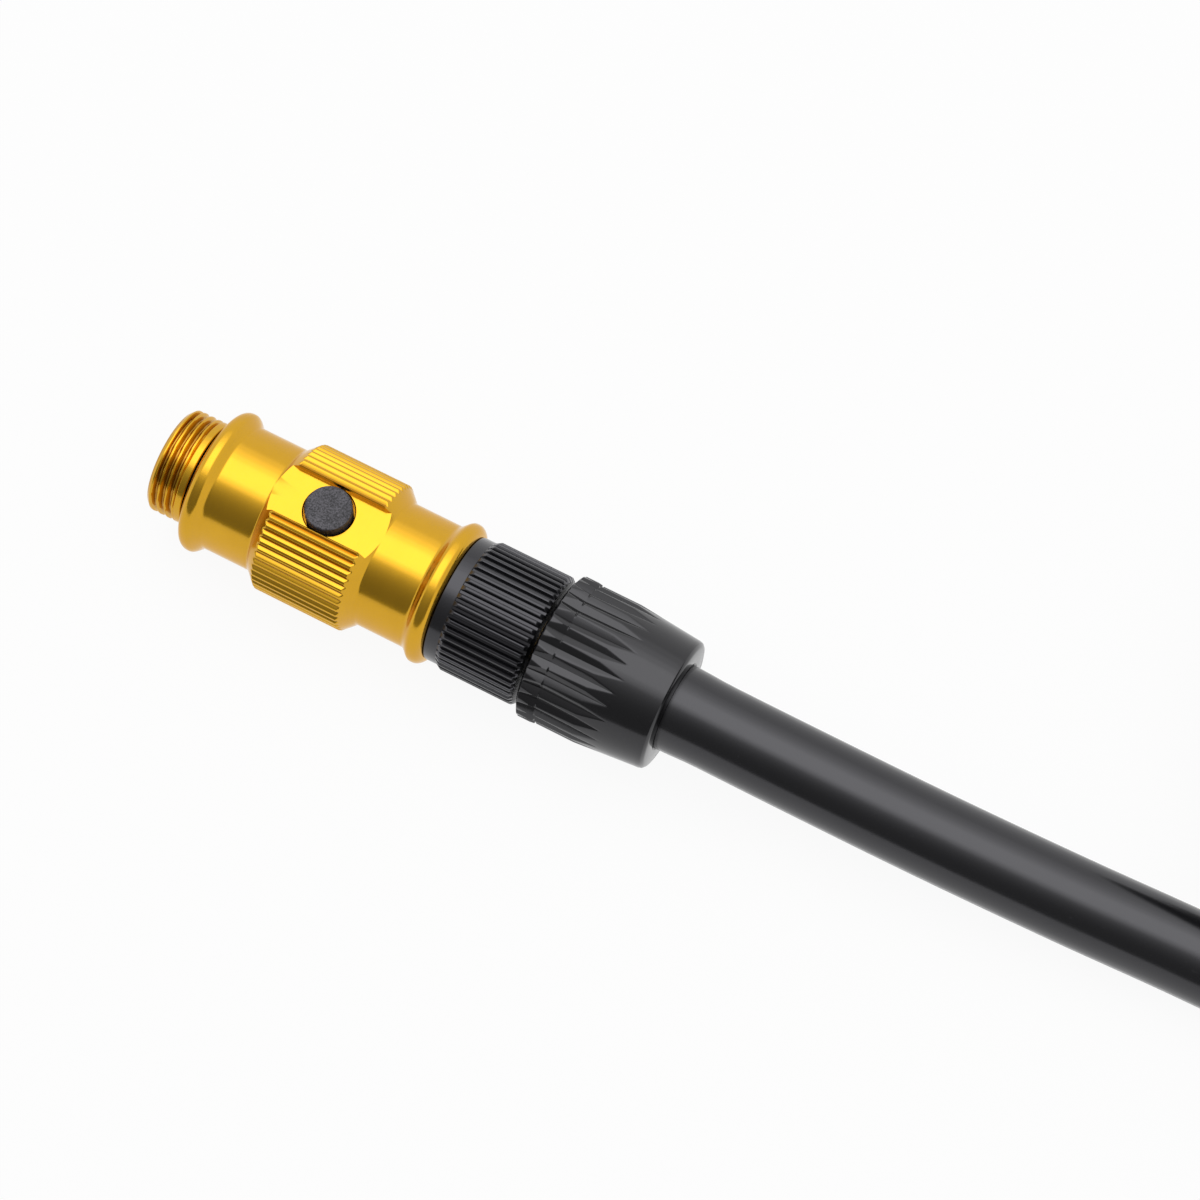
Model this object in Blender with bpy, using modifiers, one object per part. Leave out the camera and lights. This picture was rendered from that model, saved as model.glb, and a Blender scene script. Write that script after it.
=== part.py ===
"""Inflator hose with a reversible screw-on valve chuck, a bleed button and a pump-end nut.

The chuck, the hose end and the boot are turned about one axis, which lies along world +X above the
surface that the hose rests on. Lengths along that axis are counted from the middle of the chuck,
positive towards the hose. Radii are built from the inside out, each from the one below it.
"""
import math

import bmesh
import bpy
from mathutils import Matrix, Vector

MM = 0.001

# Fits
SLIP = 0.10 * MM            # radial play of a piece in its bore
SEAT = 0.10 * MM            # gap between a piece and the face it seats on
JOINT_GAP = 0.30 * MM       # gap between two lengths of the hose
MERGE = 0.002 * MM

# Facets round a turned piece
CHUCK_FACETS = 56
HOSE_END_FACETS = 48
BOOT_FACETS = 60
RING_FACETS = 32
SMALL_FACETS = 20
SECTION_POINTS = 8
ARC_POINTS = 5
RUN_RESOLUTION = 4
COIL_RESOLUTION = 1

# Chuck: bores, from the car-valve end to the slim-valve end
CAR_SOCKET_RADIUS = 3.85 * MM
CAR_SOCKET_DEPTH = 8.4 * MM
CHAMBER_RADIUS = 2.5 * MM
PASSAGE_RADIUS = 1.5 * MM
SLIM_SOCKET_RADIUS = 2.65 * MM
SLIM_SOCKET_DEPTH = 8.6 * MM
PASSAGE_LENGTH = 3.0 * MM

# Chuck: outside
CHUCK_LENGTH = 33.26 * MM
RELIEF_WALL = 0.45 * MM     # car socket to the floor of the O-ring groove
RELIEF_WIDTH = 0.5 * MM
LAND_LENGTH = 0.625 * MM    # plain band between the groove and the thread
THREAD_ROOT_STEP = 0.28 * MM
THREAD_DEPTH = 0.42 * MM
THREAD_PITCH = 0.75 * MM
THREAD_LENGTH = 2.6 * MM
NOSE_LENGTH = 0.4 * MM
NOSE_WALL = 0.75 * MM       # car socket to the rim of the nose
NECK_STEP = 1.05 * MM       # thread crest to neck
FLANGE_STEP = 0.83 * MM     # neck to flange crest
FLANGE_RISE = 1.25 * MM
FLANGE_CREST = 0.15 * MM
FLANGE_ROUND = 0.95 * MM    # length of the rounded outer edge
FLANGE_DROP = 1.1 * MM      # fall of the rounded outer edge
KNURL_STEP = 1.2 * MM       # neck to knurl
KNURL_LENGTH = 8.54 * MM
KNURL_CHAMFER = 1.23 * MM
KNURL_COUNT = CHUCK_FACETS
KNURL_DEPTH = 0.42 * MM
KNURL_GROOVE_WIDTH = 0.46 * MM
SLOT_WIDTH = 4.86 * MM
SLOT_ABOVE_NECK = 0.03 * MM
O_RING_SECTION = 0.2 * MM  # radius of the ring's section

# Valve sockets: gaskets and pin
CAR_GASKET_LENGTH = 1.9 * MM
CAR_GASKET_HOLE = 2.4 * MM
PIN_DISC_LENGTH = 0.9 * MM
PIN_RADIUS = 0.8 * MM
PIN_LENGTH = 3.4 * MM
PIN_HOLE_COUNT = 4
PIN_HOLE_RADIUS = 0.5 * MM
SLIM_GASKET_LENGTH = 2.0 * MM
SLIM_GASKET_HOLE = 1.2 * MM

# Bleed button, heights along the button's axis counted from the chuck's axis
BUTTON_RADIUS = 2.15 * MM
BUTTON_PROUD = 0.85 * MM
BUTTON_TRAVEL = 0.6 * MM
BUTTON_PLAY = 0.18 * MM
BUTTON_ROUND = 0.12 * MM
BUTTON_CAP = 1.25 * MM      # top of the button to the roof of its recess
BUTTON_SKIRT = 1.1 * MM     # roof of the recess to the skirt's lower edge
BUTTON_WALL = 0.5 * MM
CHAMBER_ROOF = 0.8 * MM     # chamber to the floor of the button's bore
BUSH_FLANGE = 0.4 * MM
BUSH_FLANGE_PLAY = 0.15 * MM
BUSH_RADIUS = 1.4 * MM
STEM_RADIUS = 0.55 * MM
STEM_IN_BUTTON = 0.45 * MM
POPPET_RADIUS = 1.3 * MM
POPPET_LENGTH = 0.5 * MM
POPPET_SIDE_PLAY = 0.2 * MM
BLEED_SEAL_LENGTH = 0.45 * MM
SPRING_RADIUS = 1.2 * MM
SPRING_WIRE = 0.14 * MM
SPRING_TURNS = 2
SPRING_POINTS = 10

# Hose end
COLLAR_WALL = 0.845 * MM
COLLAR_LENGTH = 1.19 * MM
RING_STEP = 0.29 * MM
RING_LEAD = 0.5 * MM
RING_LENGTH = 6.9 * MM
RING_CHAMFER = 0.41 * MM
RING_COUNT = HOSE_END_FACETS
RING_GROOVE_DEPTH = 0.26 * MM
RING_GROOVE_WIDTH = 0.42 * MM
END_SEAL_LENGTH = 0.6 * MM
END_SEAL_HOLE = 2.0 * MM

# Hose, barb and ferrule
HOSE_RADIUS = 3.95 * MM
HOSE_BORE = 2.45 * MM
BARB_HEAD = 1.2 * MM
BARB_NECK_STEP = 0.85 * MM  # hose bore to the barb's neck
BARB_TEETH = 3
BARB_TOOTH = 0.28 * MM
BARB_RISE_END = 0.35        # share of a tooth's pitch where it is widest
BARB_RISE_START = 0.25
BARB_LENGTH = 8.0 * MM
BARB_BORE = 1.4 * MM
FERRULE_WALL = 0.7 * MM
FERRULE_FLOOR = 0.7 * MM
FERRULE_LENGTH = 8.6 * MM

# Boot
BOOT_LENGTH = 12.55 * MM
BOOT_GAP = 0.5 * MM         # running gap to the hose end
BOOT_WALL = 1.97 * MM
BOOT_LEAD = 0.5 * MM
BOOT_LEAD_STEP = 0.45 * MM
BOOT_BAND = 1.5 * MM
BOOT_BAND_STEP = 0.07 * MM
BOOT_TAPER = 6.1 * MM
BOOT_TAPER_STEP = 0.55 * MM
BOOT_ROUND = 0.6 * MM
BOOT_GROOVE_COUNT = 30
BOOT_GROOVE_DEPTH = 0.24 * MM
BOOT_GROOVE_WIDTH = 1.2 * MM
BOOT_MOUTH_PLAY = 0.2 * MM

# Free hose: distance ahead of the boot, distance aside, and share of the height still to fall
HOSE_ROUTE = (
    (0.0, 0.0, 1.0),
    (9.0 * MM, 0.0, 0.96),
    (22.0 * MM, 0.25 * MM, 0.72),
    (36.0 * MM, 0.9 * MM, 0.36),
    (48.0 * MM, 1.6 * MM, 0.08),
    (55.0 * MM, 2.0 * MM, 0.0),
)
HOSE_STEP = 16.0 * MM
ROUTE_STEPS = 12

# Coil of the hose, in two layers
COIL_CENTRE_AHEAD = 87.6 * MM
COIL_CENTRE_ASIDE = 40.6 * MM
COIL_OUTER = 44.2 * MM
COIL_GAP = 0.5 * MM
COIL_POINTS = 24
COIL_STEPS = 55
COIL_START_ANGLE = math.radians(-105.0)
COIL_CLIMB_START = 0.75
COIL_CLIMB_TURNS = 0.5
COIL_TAIL = 14.5 * MM
COIL_TAIL_SLOPE = math.radians(9.0)
TIE_THICKNESS = 0.8 * MM
TIE_WIDTH = 8.0 * MM
TIE_PLAY = 0.45 * MM
TIE_STEPS = (9, 15)         # steps of the coil that the ties sit on
TIE_ARC_POINTS = 8

# Pump end
PUMP_FERRULE_LENGTH = 11.5 * MM
PUMP_NUT_FLATS = 13.0 * MM
PUMP_NUT_LENGTH = 9.5 * MM
PUMP_NUT_FLOOR = 1.9 * MM
PUMP_NUT_BORE = 4.86 * MM
PUMP_NUT_CHAMFER = 0.5 * MM
PUMP_HEAD_LENGTH = 1.0 * MM
PUMP_WASHER_LENGTH = 0.9 * MM
PUMP_WASHER_HOLE = 2.0 * MM
PUMP_NECK_STEP = 0.6 * MM

# Finishes: colour, roughness, metallic
GOLD = ("gold_anodised", (0.66, 0.36, 0.01), 0.25, 1.0)
BLACK_METAL = ("black_anodised", (0.02, 0.02, 0.022), 0.42, 0.6)
BOOT_PLASTIC = ("boot_plastic", (0.018, 0.018, 0.02), 0.4, 0.0)
HOSE_RUBBER = ("hose_rubber", (0.022, 0.022, 0.025), 0.5, 0.0)
BUTTON_PLASTIC = ("button_plastic", (0.035, 0.035, 0.04), 0.6, 0.0)
SEAL_RUBBER = ("seal_rubber", (0.012, 0.012, 0.012), 0.6, 0.0)
BRASS = ("brass", (0.7, 0.5, 0.2), 0.3, 1.0)
STEEL = ("steel", (0.6, 0.6, 0.62), 0.3, 1.0)
TIE_FABRIC = ("tie_fabric", (0.03, 0.03, 0.035), 0.85, 0.0)

# Radii from the inside out
relief_radius = CAR_SOCKET_RADIUS + RELIEF_WALL
thread_root = relief_radius + THREAD_ROOT_STEP
thread_radius = thread_root + THREAD_DEPTH
nose_radius = CAR_SOCKET_RADIUS + NOSE_WALL
neck_radius = thread_radius + NECK_STEP
flange_radius = neck_radius + FLANGE_STEP
knurl_radius = neck_radius + KNURL_STEP
slot_floor = neck_radius + SLOT_ABOVE_NECK
end_bore = thread_radius + SLIP + O_RING_SECTION / 2
collar_radius = end_bore + COLLAR_WALL
ring_radius = collar_radius + RING_STEP
barb_neck = HOSE_BORE + BARB_NECK_STEP
ferrule_bore = HOSE_RADIUS + SLIP
ferrule_radius = ferrule_bore + FERRULE_WALL
boot_bore = ferrule_radius + SLIP
boot_radius = boot_bore + BOOT_WALL
boot_mouth = HOSE_RADIUS + BOOT_MOUTH_PLAY

# Stations along the axis
knurl_half = KNURL_LENGTH / 2
chamfer_end = knurl_half + KNURL_CHAMFER
chuck_reach = CHUCK_LENGTH / 2
thread_start = chuck_reach - THREAD_LENGTH
land_end = thread_start - THREAD_PITCH / 2
land_start = land_end - LAND_LENGTH
flange_face = land_start - RELIEF_WIDTH
crest_end = flange_face - FLANGE_ROUND
neck_end = crest_end - FLANGE_CREST - FLANGE_RISE
car_floor = CAR_SOCKET_DEPTH - chuck_reach
slim_floor = chuck_reach - SLIM_SOCKET_DEPTH
collar_start = flange_face + SEAT
ring_start = collar_start + COLLAR_LENGTH
ring_end = ring_start + RING_LEAD + RING_LENGTH + RING_CHAMFER
end_seal_start = chuck_reach + SEAT
barb_start = end_seal_start + END_SEAL_LENGTH + SEAT
end_shoulder = barb_start + BARB_HEAD + SEAT
boot_start = ring_end + BOOT_GAP
ferrule_start = boot_start + SEAT
hose_start = ferrule_start + FERRULE_FLOOR + SEAT
boot_shoulder = ferrule_start + FERRULE_LENGTH + SEAT
boot_end = boot_start + BOOT_LENGTH

# World frame: origin under the middle of the chuck, hose end and boot
axis_height = knurl_radius
chuck_x = -(boot_end - chuck_reach) / 2
boot_x = chuck_x + boot_end

# Bleed cartridge heights
button_bore = BUTTON_RADIUS + BUTTON_PLAY
button_top = slot_floor + BUTTON_PROUD
button_roof = button_top - BUTTON_CAP
bush_floor = CHAMBER_RADIUS + CHAMBER_ROOF
bush_top = bush_floor + SEAT + BUSH_FLANGE
bush_low = math.sqrt(CHAMBER_RADIUS ** 2 - (POPPET_RADIUS + POPPET_SIDE_PLAY) ** 2)
poppet_top = bush_low - SEAT - BLEED_SEAL_LENGTH - SEAT

# Coil heights and pitch
coil_pitch = 2 * HOSE_RADIUS + COIL_GAP
coil_low = HOSE_RADIUS + TIE_PLAY + TIE_THICKNESS
coil_turns = COIL_STEPS / COIL_POINTS
coil_centre = Vector((boot_x + COIL_CENTRE_AHEAD, COIL_CENTRE_ASIDE, coil_low))


def clear_scene():
    for item in list(bpy.data.objects):
        bpy.data.objects.remove(item, do_unlink=True)


def new_collection(name):
    collection = bpy.data.collections.new(name)
    bpy.context.scene.collection.children.link(collection)
    return collection


def finish_material(finish):
    name, colour, roughness, metallic = finish
    material = bpy.data.materials.get(name)
    if material is None:
        material = bpy.data.materials.new(name)
        material.use_nodes = True
        shader = material.node_tree.nodes["Principled BSDF"]
        shader.inputs["Base Color"].default_value = (*colour, 1.0)
        shader.inputs["Roughness"].default_value = roughness
        shader.inputs["Metallic"].default_value = metallic
        material.diffuse_color = (*colour, 1.0)
    return material


def add_empty(name, location, rotation=(0.0, 0.0, 0.0)):
    empty = bpy.data.objects.new(name, None)
    empty.location = location
    empty.rotation_euler = rotation
    empty.empty_display_size = 0.01
    parts.objects.link(empty)
    return empty


def add_piece(name, data, finish, parent):
    piece = bpy.data.objects.new(name, data)
    data.materials.append(finish_material(finish))
    piece.parent = parent
    parts.objects.link(piece)
    return piece


def add_cutter(name, data, parent):
    cutter = bpy.data.objects.new(name, data)
    cutter.parent = parent
    cutter.hide_render = True
    cutter.display_type = 'WIRE'
    cutters.objects.link(cutter)
    return cutter


def turned_mesh(name, outline, closed):
    mesh = bpy.data.meshes.new(name)
    points = [(radius, 0.0, height) for radius, height in outline]
    edges = [(index, index + 1) for index in range(len(points) - 1)]
    if closed:
        edges.append((len(points) - 1, 0))
    mesh.from_pydata(points, edges, [])
    return mesh


def spin(piece, facets):
    screw = piece.modifiers.new("turn", 'SCREW')
    screw.axis = 'Z'
    screw.angle = math.tau
    screw.steps = facets
    screw.render_steps = facets
    screw.use_merge_vertices = True
    screw.merge_threshold = MERGE


def turned(name, outline, finish, facets, parent, closed=True):
    """Turn an outline of (radius, height) points, listed down its outer side, about local Z."""
    piece = add_piece(name, turned_mesh(name, outline, closed), finish, parent)
    spin(piece, facets)
    return piece


def cut(piece, cutter, operation='DIFFERENCE'):
    modifier = piece.modifiers.new(cutter.name, 'BOOLEAN')
    modifier.operation = operation
    modifier.solver = 'EXACT'
    modifier.object = cutter


def ring_outline(inner, outer, low, high):
    return [(outer, high), (outer, low), (inner, low), (inner, high)]


def round_section(radius, centre_radius, height):
    """Circle for an O-ring's section, listed down its outer side."""
    points = []
    for index in range(SECTION_POINTS):
        angle = math.pi / 2 - math.tau * (index + 0.5) / SECTION_POINTS
        points.append((centre_radius + radius * math.cos(angle), height + radius * math.sin(angle)))
    return points


def cylinder_cutter(name, radius, low, high, facets, parent, offset=(0.0, 0.0)):
    mesh = bpy.data.meshes.new(name)
    shape = bmesh.new()
    bmesh.ops.create_cone(shape, cap_ends=True, segments=facets, radius1=radius, radius2=radius,
                          depth=high - low)
    bmesh.ops.translate(shape, vec=(offset[0], offset[1], (low + high) / 2), verts=shape.verts)
    shape.to_mesh(mesh)
    shape.free()
    return add_cutter(name, mesh, parent)


def groove_cutter(name, count, radius, depth, width, low, high, parent):
    """Ring of V grooves along local Z, each a four-sided prism with one edge towards the axis."""
    mesh = bpy.data.meshes.new(name)
    shape = bmesh.new()
    for index in range(count):
        prism = bmesh.ops.create_cone(shape, cap_ends=True, segments=4, radius1=1.0, radius2=1.0,
                                      depth=high - low)
        turn = Matrix.Rotation(math.tau * (index + 0.5) / count, 4, 'Z')
        place = Matrix.Translation((radius, 0.0, (low + high) / 2))
        stretch = Matrix.Diagonal((depth, width / 2, 1.0, 1.0))
        bmesh.ops.transform(shape, matrix=turn @ place @ stretch, verts=prism["verts"])
    shape.to_mesh(mesh)
    shape.free()
    return add_cutter(name, mesh, parent)


def tube(name, points, radius, resolution):
    """Curve of straight steps through points, as a round tube with closed ends."""
    curve = bpy.data.curves.new(name, 'CURVE')
    curve.dimensions = '3D'
    curve.bevel_depth = radius
    curve.bevel_resolution = resolution
    curve.use_fill_caps = True
    spline = curve.splines.new('POLY')
    spline.points.add(len(points) - 1)
    for target, point in zip(spline.points, points):
        target.co = (*point, 1.0)
    return curve


def smooth_curve(points, parts_each):
    """Catmull-Rom curve through points, with parts_each steps between neighbours."""
    padded = [2 * points[0] - points[1]] + points + [2 * points[-1] - points[-2]]
    result = []
    for index in range(1, len(padded) - 2):
        before, start, end, after = padded[index - 1:index + 3]
        for step in range(parts_each):
            t = step / parts_each
            result.append(0.5 * (2 * start + (end - before) * t
                                 + (2 * before - 5 * start + 4 * end - after) * t ** 2
                                 + (3 * start - before - 3 * end + after) * t ** 3))
    result.append(points[-1])
    return result


def resample(points, step):
    """Evenly spaced points along a polyline, about one step apart, with both ends kept."""
    reach = [0.0]
    for first, second in zip(points, points[1:]):
        reach.append(reach[-1] + (second - first).length)
    count = max(2, round(reach[-1] / step))
    result = []
    place = 0
    for index in range(count + 1):
        wanted = reach[-1] * index / count
        while place < len(points) - 2 and reach[place + 1] < wanted:
            place += 1
        share = (wanted - reach[place]) / (reach[place + 1] - reach[place])
        result.append(points[place].lerp(points[place + 1], share))
    return result


def least_self_gap(points, diameter, apart):
    """Least clear gap between stretches of one tube that lie more than apart along it."""
    reach = [0.0]
    for first, second in zip(points, points[1:]):
        reach.append(reach[-1] + (second - first).length)
    least = math.inf
    for first in range(len(points)):
        for second in range(first + 1, len(points)):
            if reach[second] - reach[first] > apart:
                least = min(least, (points[second] - points[first]).length - diameter)
    return least


def thread_outline():
    """Plain band and thread, from the relief groove to the rim of the nose, as (radius, height)."""
    points = [(thread_radius, land_start), (thread_radius, land_end), (thread_root, thread_start)]
    nose_start = chuck_reach - NOSE_LENGTH
    slope = (thread_radius - nose_radius) / NOSE_LENGTH
    height = thread_start
    while height + THREAD_PITCH < nose_start:
        points.append((thread_radius, height + THREAD_PITCH / 2))
        height += THREAD_PITCH
        points.append((thread_root, height))
    crest = height + THREAD_PITCH / 2
    if crest < nose_start:
        points.append((thread_radius, crest))
        crest = nose_start
    points.append((thread_radius - slope * (crest - nose_start), crest))
    points.append((nose_radius, chuck_reach))
    return points


def chuck_half_outline():
    """Outer outline of one half of the chuck, from the knurl out to the nose."""
    outline = [(knurl_radius, knurl_half), (neck_radius, chamfer_end), (neck_radius, neck_end)]
    for index in range(1, ARC_POINTS + 1):
        share = index / ARC_POINTS
        lift = FLANGE_STEP * (1 - math.cos(math.pi * share)) / 2
        outline.append((neck_radius + lift, neck_end + FLANGE_RISE * share))
    for index in range(ARC_POINTS + 1):
        angle = math.pi / 2 * index / ARC_POINTS
        outline.append((flange_radius - FLANGE_DROP * (1 - math.cos(angle)),
                        crest_end + FLANGE_ROUND * math.sin(angle)))
    outline += [(relief_radius, flange_face), (relief_radius, land_start)]
    return outline + thread_outline()


def build_chuck_body():
    half = chuck_half_outline()
    outline = list(reversed(half)) + [(radius, -height) for radius, height in half]
    outline += [
        (CAR_SOCKET_RADIUS, -chuck_reach),
        (CAR_SOCKET_RADIUS, car_floor),
        (CHAMBER_RADIUS, car_floor),
        (CHAMBER_RADIUS, slim_floor - PASSAGE_LENGTH),
        (PASSAGE_RADIUS, slim_floor - PASSAGE_LENGTH),
        (PASSAGE_RADIUS, slim_floor),
        (SLIM_SOCKET_RADIUS, slim_floor),
        (SLIM_SOCKET_RADIUS, chuck_reach),
    ]
    body = turned("chuck_body", outline, GOLD, CHUCK_FACETS, chuck_axis)
    grooves = groove_cutter("chuck_knurl_grooves", KNURL_COUNT, knurl_radius, KNURL_DEPTH,
                            KNURL_GROOVE_WIDTH, -chamfer_end, chamfer_end, chuck_axis)
    cut(body, grooves)
    slot = bpy.data.meshes.new("chuck_slot")
    shape = bmesh.new()
    bmesh.ops.create_cube(shape, size=1.0)
    slot_height = 2 * KNURL_STEP
    stretch = Matrix.Diagonal((2 * chamfer_end, SLOT_WIDTH, slot_height, 1.0))
    place = Matrix.Translation((0.0, 0.0, slot_floor + slot_height / 2))
    bmesh.ops.transform(shape, matrix=place @ stretch, verts=shape.verts)
    shape.to_mesh(slot)
    shape.free()
    cut(body, add_cutter("chuck_slot", slot, button_axis))
    cut(body, cylinder_cutter("chuck_button_bore", button_bore, bush_floor, knurl_radius + KNURL_STEP,
                              SMALL_FACETS + 4, button_axis))
    cut(body, cylinder_cutter("chuck_bush_hole", BUSH_RADIUS + SLIP, 0.0, bush_floor + SEAT,
                              SMALL_FACETS, button_axis))


def build_chuck_seals():
    ring_radius_mid = relief_radius + SLIP + O_RING_SECTION
    groove_middle = flange_face + RELIEF_WIDTH / 2
    for name, height in (("valve_side_o_ring", -groove_middle), ("hose_side_o_ring", groove_middle)):
        turned(name, round_section(O_RING_SECTION, ring_radius_mid, height), SEAL_RUBBER, RING_FACETS,
               chuck_axis)
    disc_high = car_floor - SEAT
    disc_low = disc_high - PIN_DISC_LENGTH
    disc_radius = CAR_SOCKET_RADIUS - SLIP
    pin = turned("car_valve_pin", [
        (0.0, disc_high),
        (disc_radius, disc_high),
        (disc_radius, disc_low),
        (PIN_RADIUS, disc_low),
        (PIN_RADIUS, disc_low - PIN_LENGTH + PIN_RADIUS / 2),
        (PIN_RADIUS / 2, disc_low - PIN_LENGTH),
        (0.0, disc_low - PIN_LENGTH),
    ], BRASS, RING_FACETS, chuck_axis, closed=False)
    hole_circle = (PIN_RADIUS + CHAMBER_RADIUS) / 2
    for index in range(PIN_HOLE_COUNT):
        angle = math.tau * (index + 0.5) / PIN_HOLE_COUNT
        offset = (hole_circle * math.cos(angle), hole_circle * math.sin(angle))
        cut(pin, cylinder_cutter("pin_hole_%d" % (index + 1), PIN_HOLE_RADIUS, disc_low - PIN_RADIUS,
                                 disc_high + PIN_RADIUS, SMALL_FACETS // 2, chuck_axis, offset))
    gasket_high = disc_low - SEAT
    turned("car_valve_gasket",
           ring_outline(CAR_GASKET_HOLE, disc_radius, gasket_high - CAR_GASKET_LENGTH, gasket_high),
           SEAL_RUBBER, RING_FACETS, chuck_axis)
    turned("slim_valve_gasket",
           ring_outline(SLIM_GASKET_HOLE, SLIM_SOCKET_RADIUS - SLIP, slim_floor + SEAT,
                        slim_floor + SEAT + SLIM_GASKET_LENGTH),
           SEAL_RUBBER, SMALL_FACETS + 4, chuck_axis)


def build_bleed_valve():
    stem_hole = STEM_RADIUS + SLIP / 2
    stem_top = button_roof + STEM_IN_BUTTON
    recess = BUTTON_RADIUS - BUTTON_WALL
    skirt = button_roof - BUTTON_SKIRT
    turned("bleed_button", [
        (0.0, button_top),
        (BUTTON_RADIUS - BUTTON_ROUND, button_top),
        (BUTTON_RADIUS, button_top - BUTTON_ROUND),
        (BUTTON_RADIUS, skirt),
        (recess, skirt),
        (recess, button_roof),
        (stem_hole, button_roof),
        (stem_hole, stem_top + SEAT),
        (0.0, stem_top + SEAT),
    ], BUTTON_PLASTIC, SMALL_FACETS + 4, button_axis, closed=False)
    turned("bleed_stem", [
        (0.0, stem_top),
        (STEM_RADIUS, stem_top),
        (STEM_RADIUS, poppet_top),
        (POPPET_RADIUS, poppet_top),
        (POPPET_RADIUS, poppet_top - POPPET_LENGTH),
        (0.0, poppet_top - POPPET_LENGTH),
    ], STEEL, SMALL_FACETS, button_axis, closed=False)
    turned("bleed_seal", ring_outline(stem_hole, POPPET_RADIUS, poppet_top + SEAT, bush_low - SEAT),
           SEAL_RUBBER, SMALL_FACETS, button_axis)
    flange = button_bore - BUSH_FLANGE_PLAY
    turned("bleed_bush", [
        (flange, bush_top),
        (flange, bush_floor + SEAT),
        (BUSH_RADIUS, bush_floor + SEAT),
        (BUSH_RADIUS, bush_low),
        (stem_hole + SLIP, bush_low),
        (stem_hole + SLIP, bush_top),
    ], BRASS, SMALL_FACETS, button_axis)
    low = bush_top + SEAT + SPRING_WIRE
    high = button_roof - SEAT - SPRING_WIRE
    points = []
    for index in range(SPRING_TURNS * SPRING_POINTS + 1):
        turn = index / SPRING_POINTS
        angle = math.tau * turn
        height = low + (high - low) * turn / SPRING_TURNS
        points.append(Vector((SPRING_RADIUS * math.cos(angle), SPRING_RADIUS * math.sin(angle), height)))
    curve = tube("bleed_spring", points, SPRING_WIRE, COIL_RESOLUTION)
    add_piece("bleed_spring", curve, STEEL, button_axis)
    print("bleed_spring least gap to itself: %.3f mm"
          % (least_self_gap(points, 2 * SPRING_WIRE, math.pi * SPRING_RADIUS) / MM))


def build_hose_end():
    """Collar and knurled ring, with the chuck's socket at one end and the barb's shoulder inside."""
    ring_full = ring_start + RING_LEAD
    ring_chamfer = ring_end - RING_CHAMFER
    end = turned("hose_end", [
        (collar_radius, ring_end),
        (ring_radius, ring_chamfer),
        (ring_radius, ring_full),
        (collar_radius, ring_start),
        (collar_radius, collar_start),
        (end_bore, collar_start),
        (end_bore, end_shoulder),
        (barb_neck + SLIP, end_shoulder),
        (barb_neck + SLIP, ring_end),
    ], BLACK_METAL, HOSE_END_FACETS, chuck_axis)
    cut(end, groove_cutter("hose_end_grooves", RING_COUNT, ring_radius, RING_GROOVE_DEPTH,
                           RING_GROOVE_WIDTH, ring_start, ring_end, chuck_axis))
    turned("hose_end_seal",
           ring_outline(END_SEAL_HOLE, end_bore - SLIP, end_seal_start, end_seal_start + END_SEAL_LENGTH),
           SEAL_RUBBER, RING_FACETS, chuck_axis)


def barb_teeth(shank, low, length, teeth, tooth):
    """Outer outline of a barbed tail that starts at low, listed from its tip down."""
    pitch = length / teeth
    points = []
    for index in reversed(range(teeth)):
        base = low + pitch * index
        points.append((shank - tooth, base + pitch))
        points.append((shank, base + pitch * BARB_RISE_END))
        points.append((shank - tooth, base + pitch * BARB_RISE_START))
    return points


def build_hose_fitting():
    """Barb, ferrule and the clamped end of the hose, on the chuck's axis."""
    tail_start = hose_start - SEAT
    shank = HOSE_BORE - SLIP
    outline = barb_teeth(shank, tail_start, BARB_LENGTH, BARB_TEETH, BARB_TOOTH)
    outline += [
        (shank - BARB_TOOTH, tail_start),
        (barb_neck, tail_start),
        (barb_neck, barb_start + BARB_HEAD),
        (end_bore - SLIP, barb_start + BARB_HEAD),
        (end_bore - SLIP, barb_start),
        (BARB_BORE, barb_start),
        (BARB_BORE, tail_start + BARB_LENGTH),
    ]
    turned("hose_barb", outline, BRASS, SMALL_FACETS + 4, chuck_axis)
    ferrule_end = ferrule_start + FERRULE_LENGTH
    ferrule_inside = ferrule_start + FERRULE_FLOOR
    turned("hose_ferrule", [
        (ferrule_radius, ferrule_end),
        (ferrule_radius, ferrule_start),
        (barb_neck + SLIP, ferrule_start),
        (barb_neck + SLIP, ferrule_inside),
        (ferrule_bore, ferrule_inside),
        (ferrule_bore, ferrule_end),
    ], STEEL, RING_FACETS, chuck_axis)
    turned("hose_clamped_end", ring_outline(HOSE_BORE, HOSE_RADIUS, hose_start, boot_end - SEAT),
           HOSE_RUBBER, RING_FACETS, chuck_axis)


def build_boot():
    band_end = boot_start + BOOT_LEAD + BOOT_BAND
    round_start = boot_end - BOOT_ROUND
    taper_start = round_start - BOOT_TAPER
    taper_radius = boot_radius - BOOT_TAPER_STEP
    outline = []
    for index in range(ARC_POINTS + 1):
        angle = math.pi / 2 * index / ARC_POINTS
        outline.append((taper_radius - BOOT_ROUND * (1 - math.sin(angle)),
                        round_start + BOOT_ROUND * math.cos(angle)))
    outline += [
        (boot_radius, taper_start),
        (boot_radius, band_end),
        (boot_radius + BOOT_BAND_STEP, band_end),
        (boot_radius + BOOT_BAND_STEP, boot_start + BOOT_LEAD),
        (boot_radius - BOOT_LEAD_STEP, boot_start),
        (boot_bore, boot_start),
        (boot_bore, boot_shoulder),
        (boot_mouth, boot_shoulder),
        (boot_mouth, boot_end),
    ]
    boot = turned("strain_relief_boot", outline, BOOT_PLASTIC, BOOT_FACETS, chuck_axis)
    cut(boot, groove_cutter("boot_grooves", BOOT_GROOVE_COUNT, boot_radius, BOOT_GROOVE_DEPTH,
                            BOOT_GROOVE_WIDTH, boot_start - BOOT_LEAD, round_start, chuck_axis))


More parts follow.
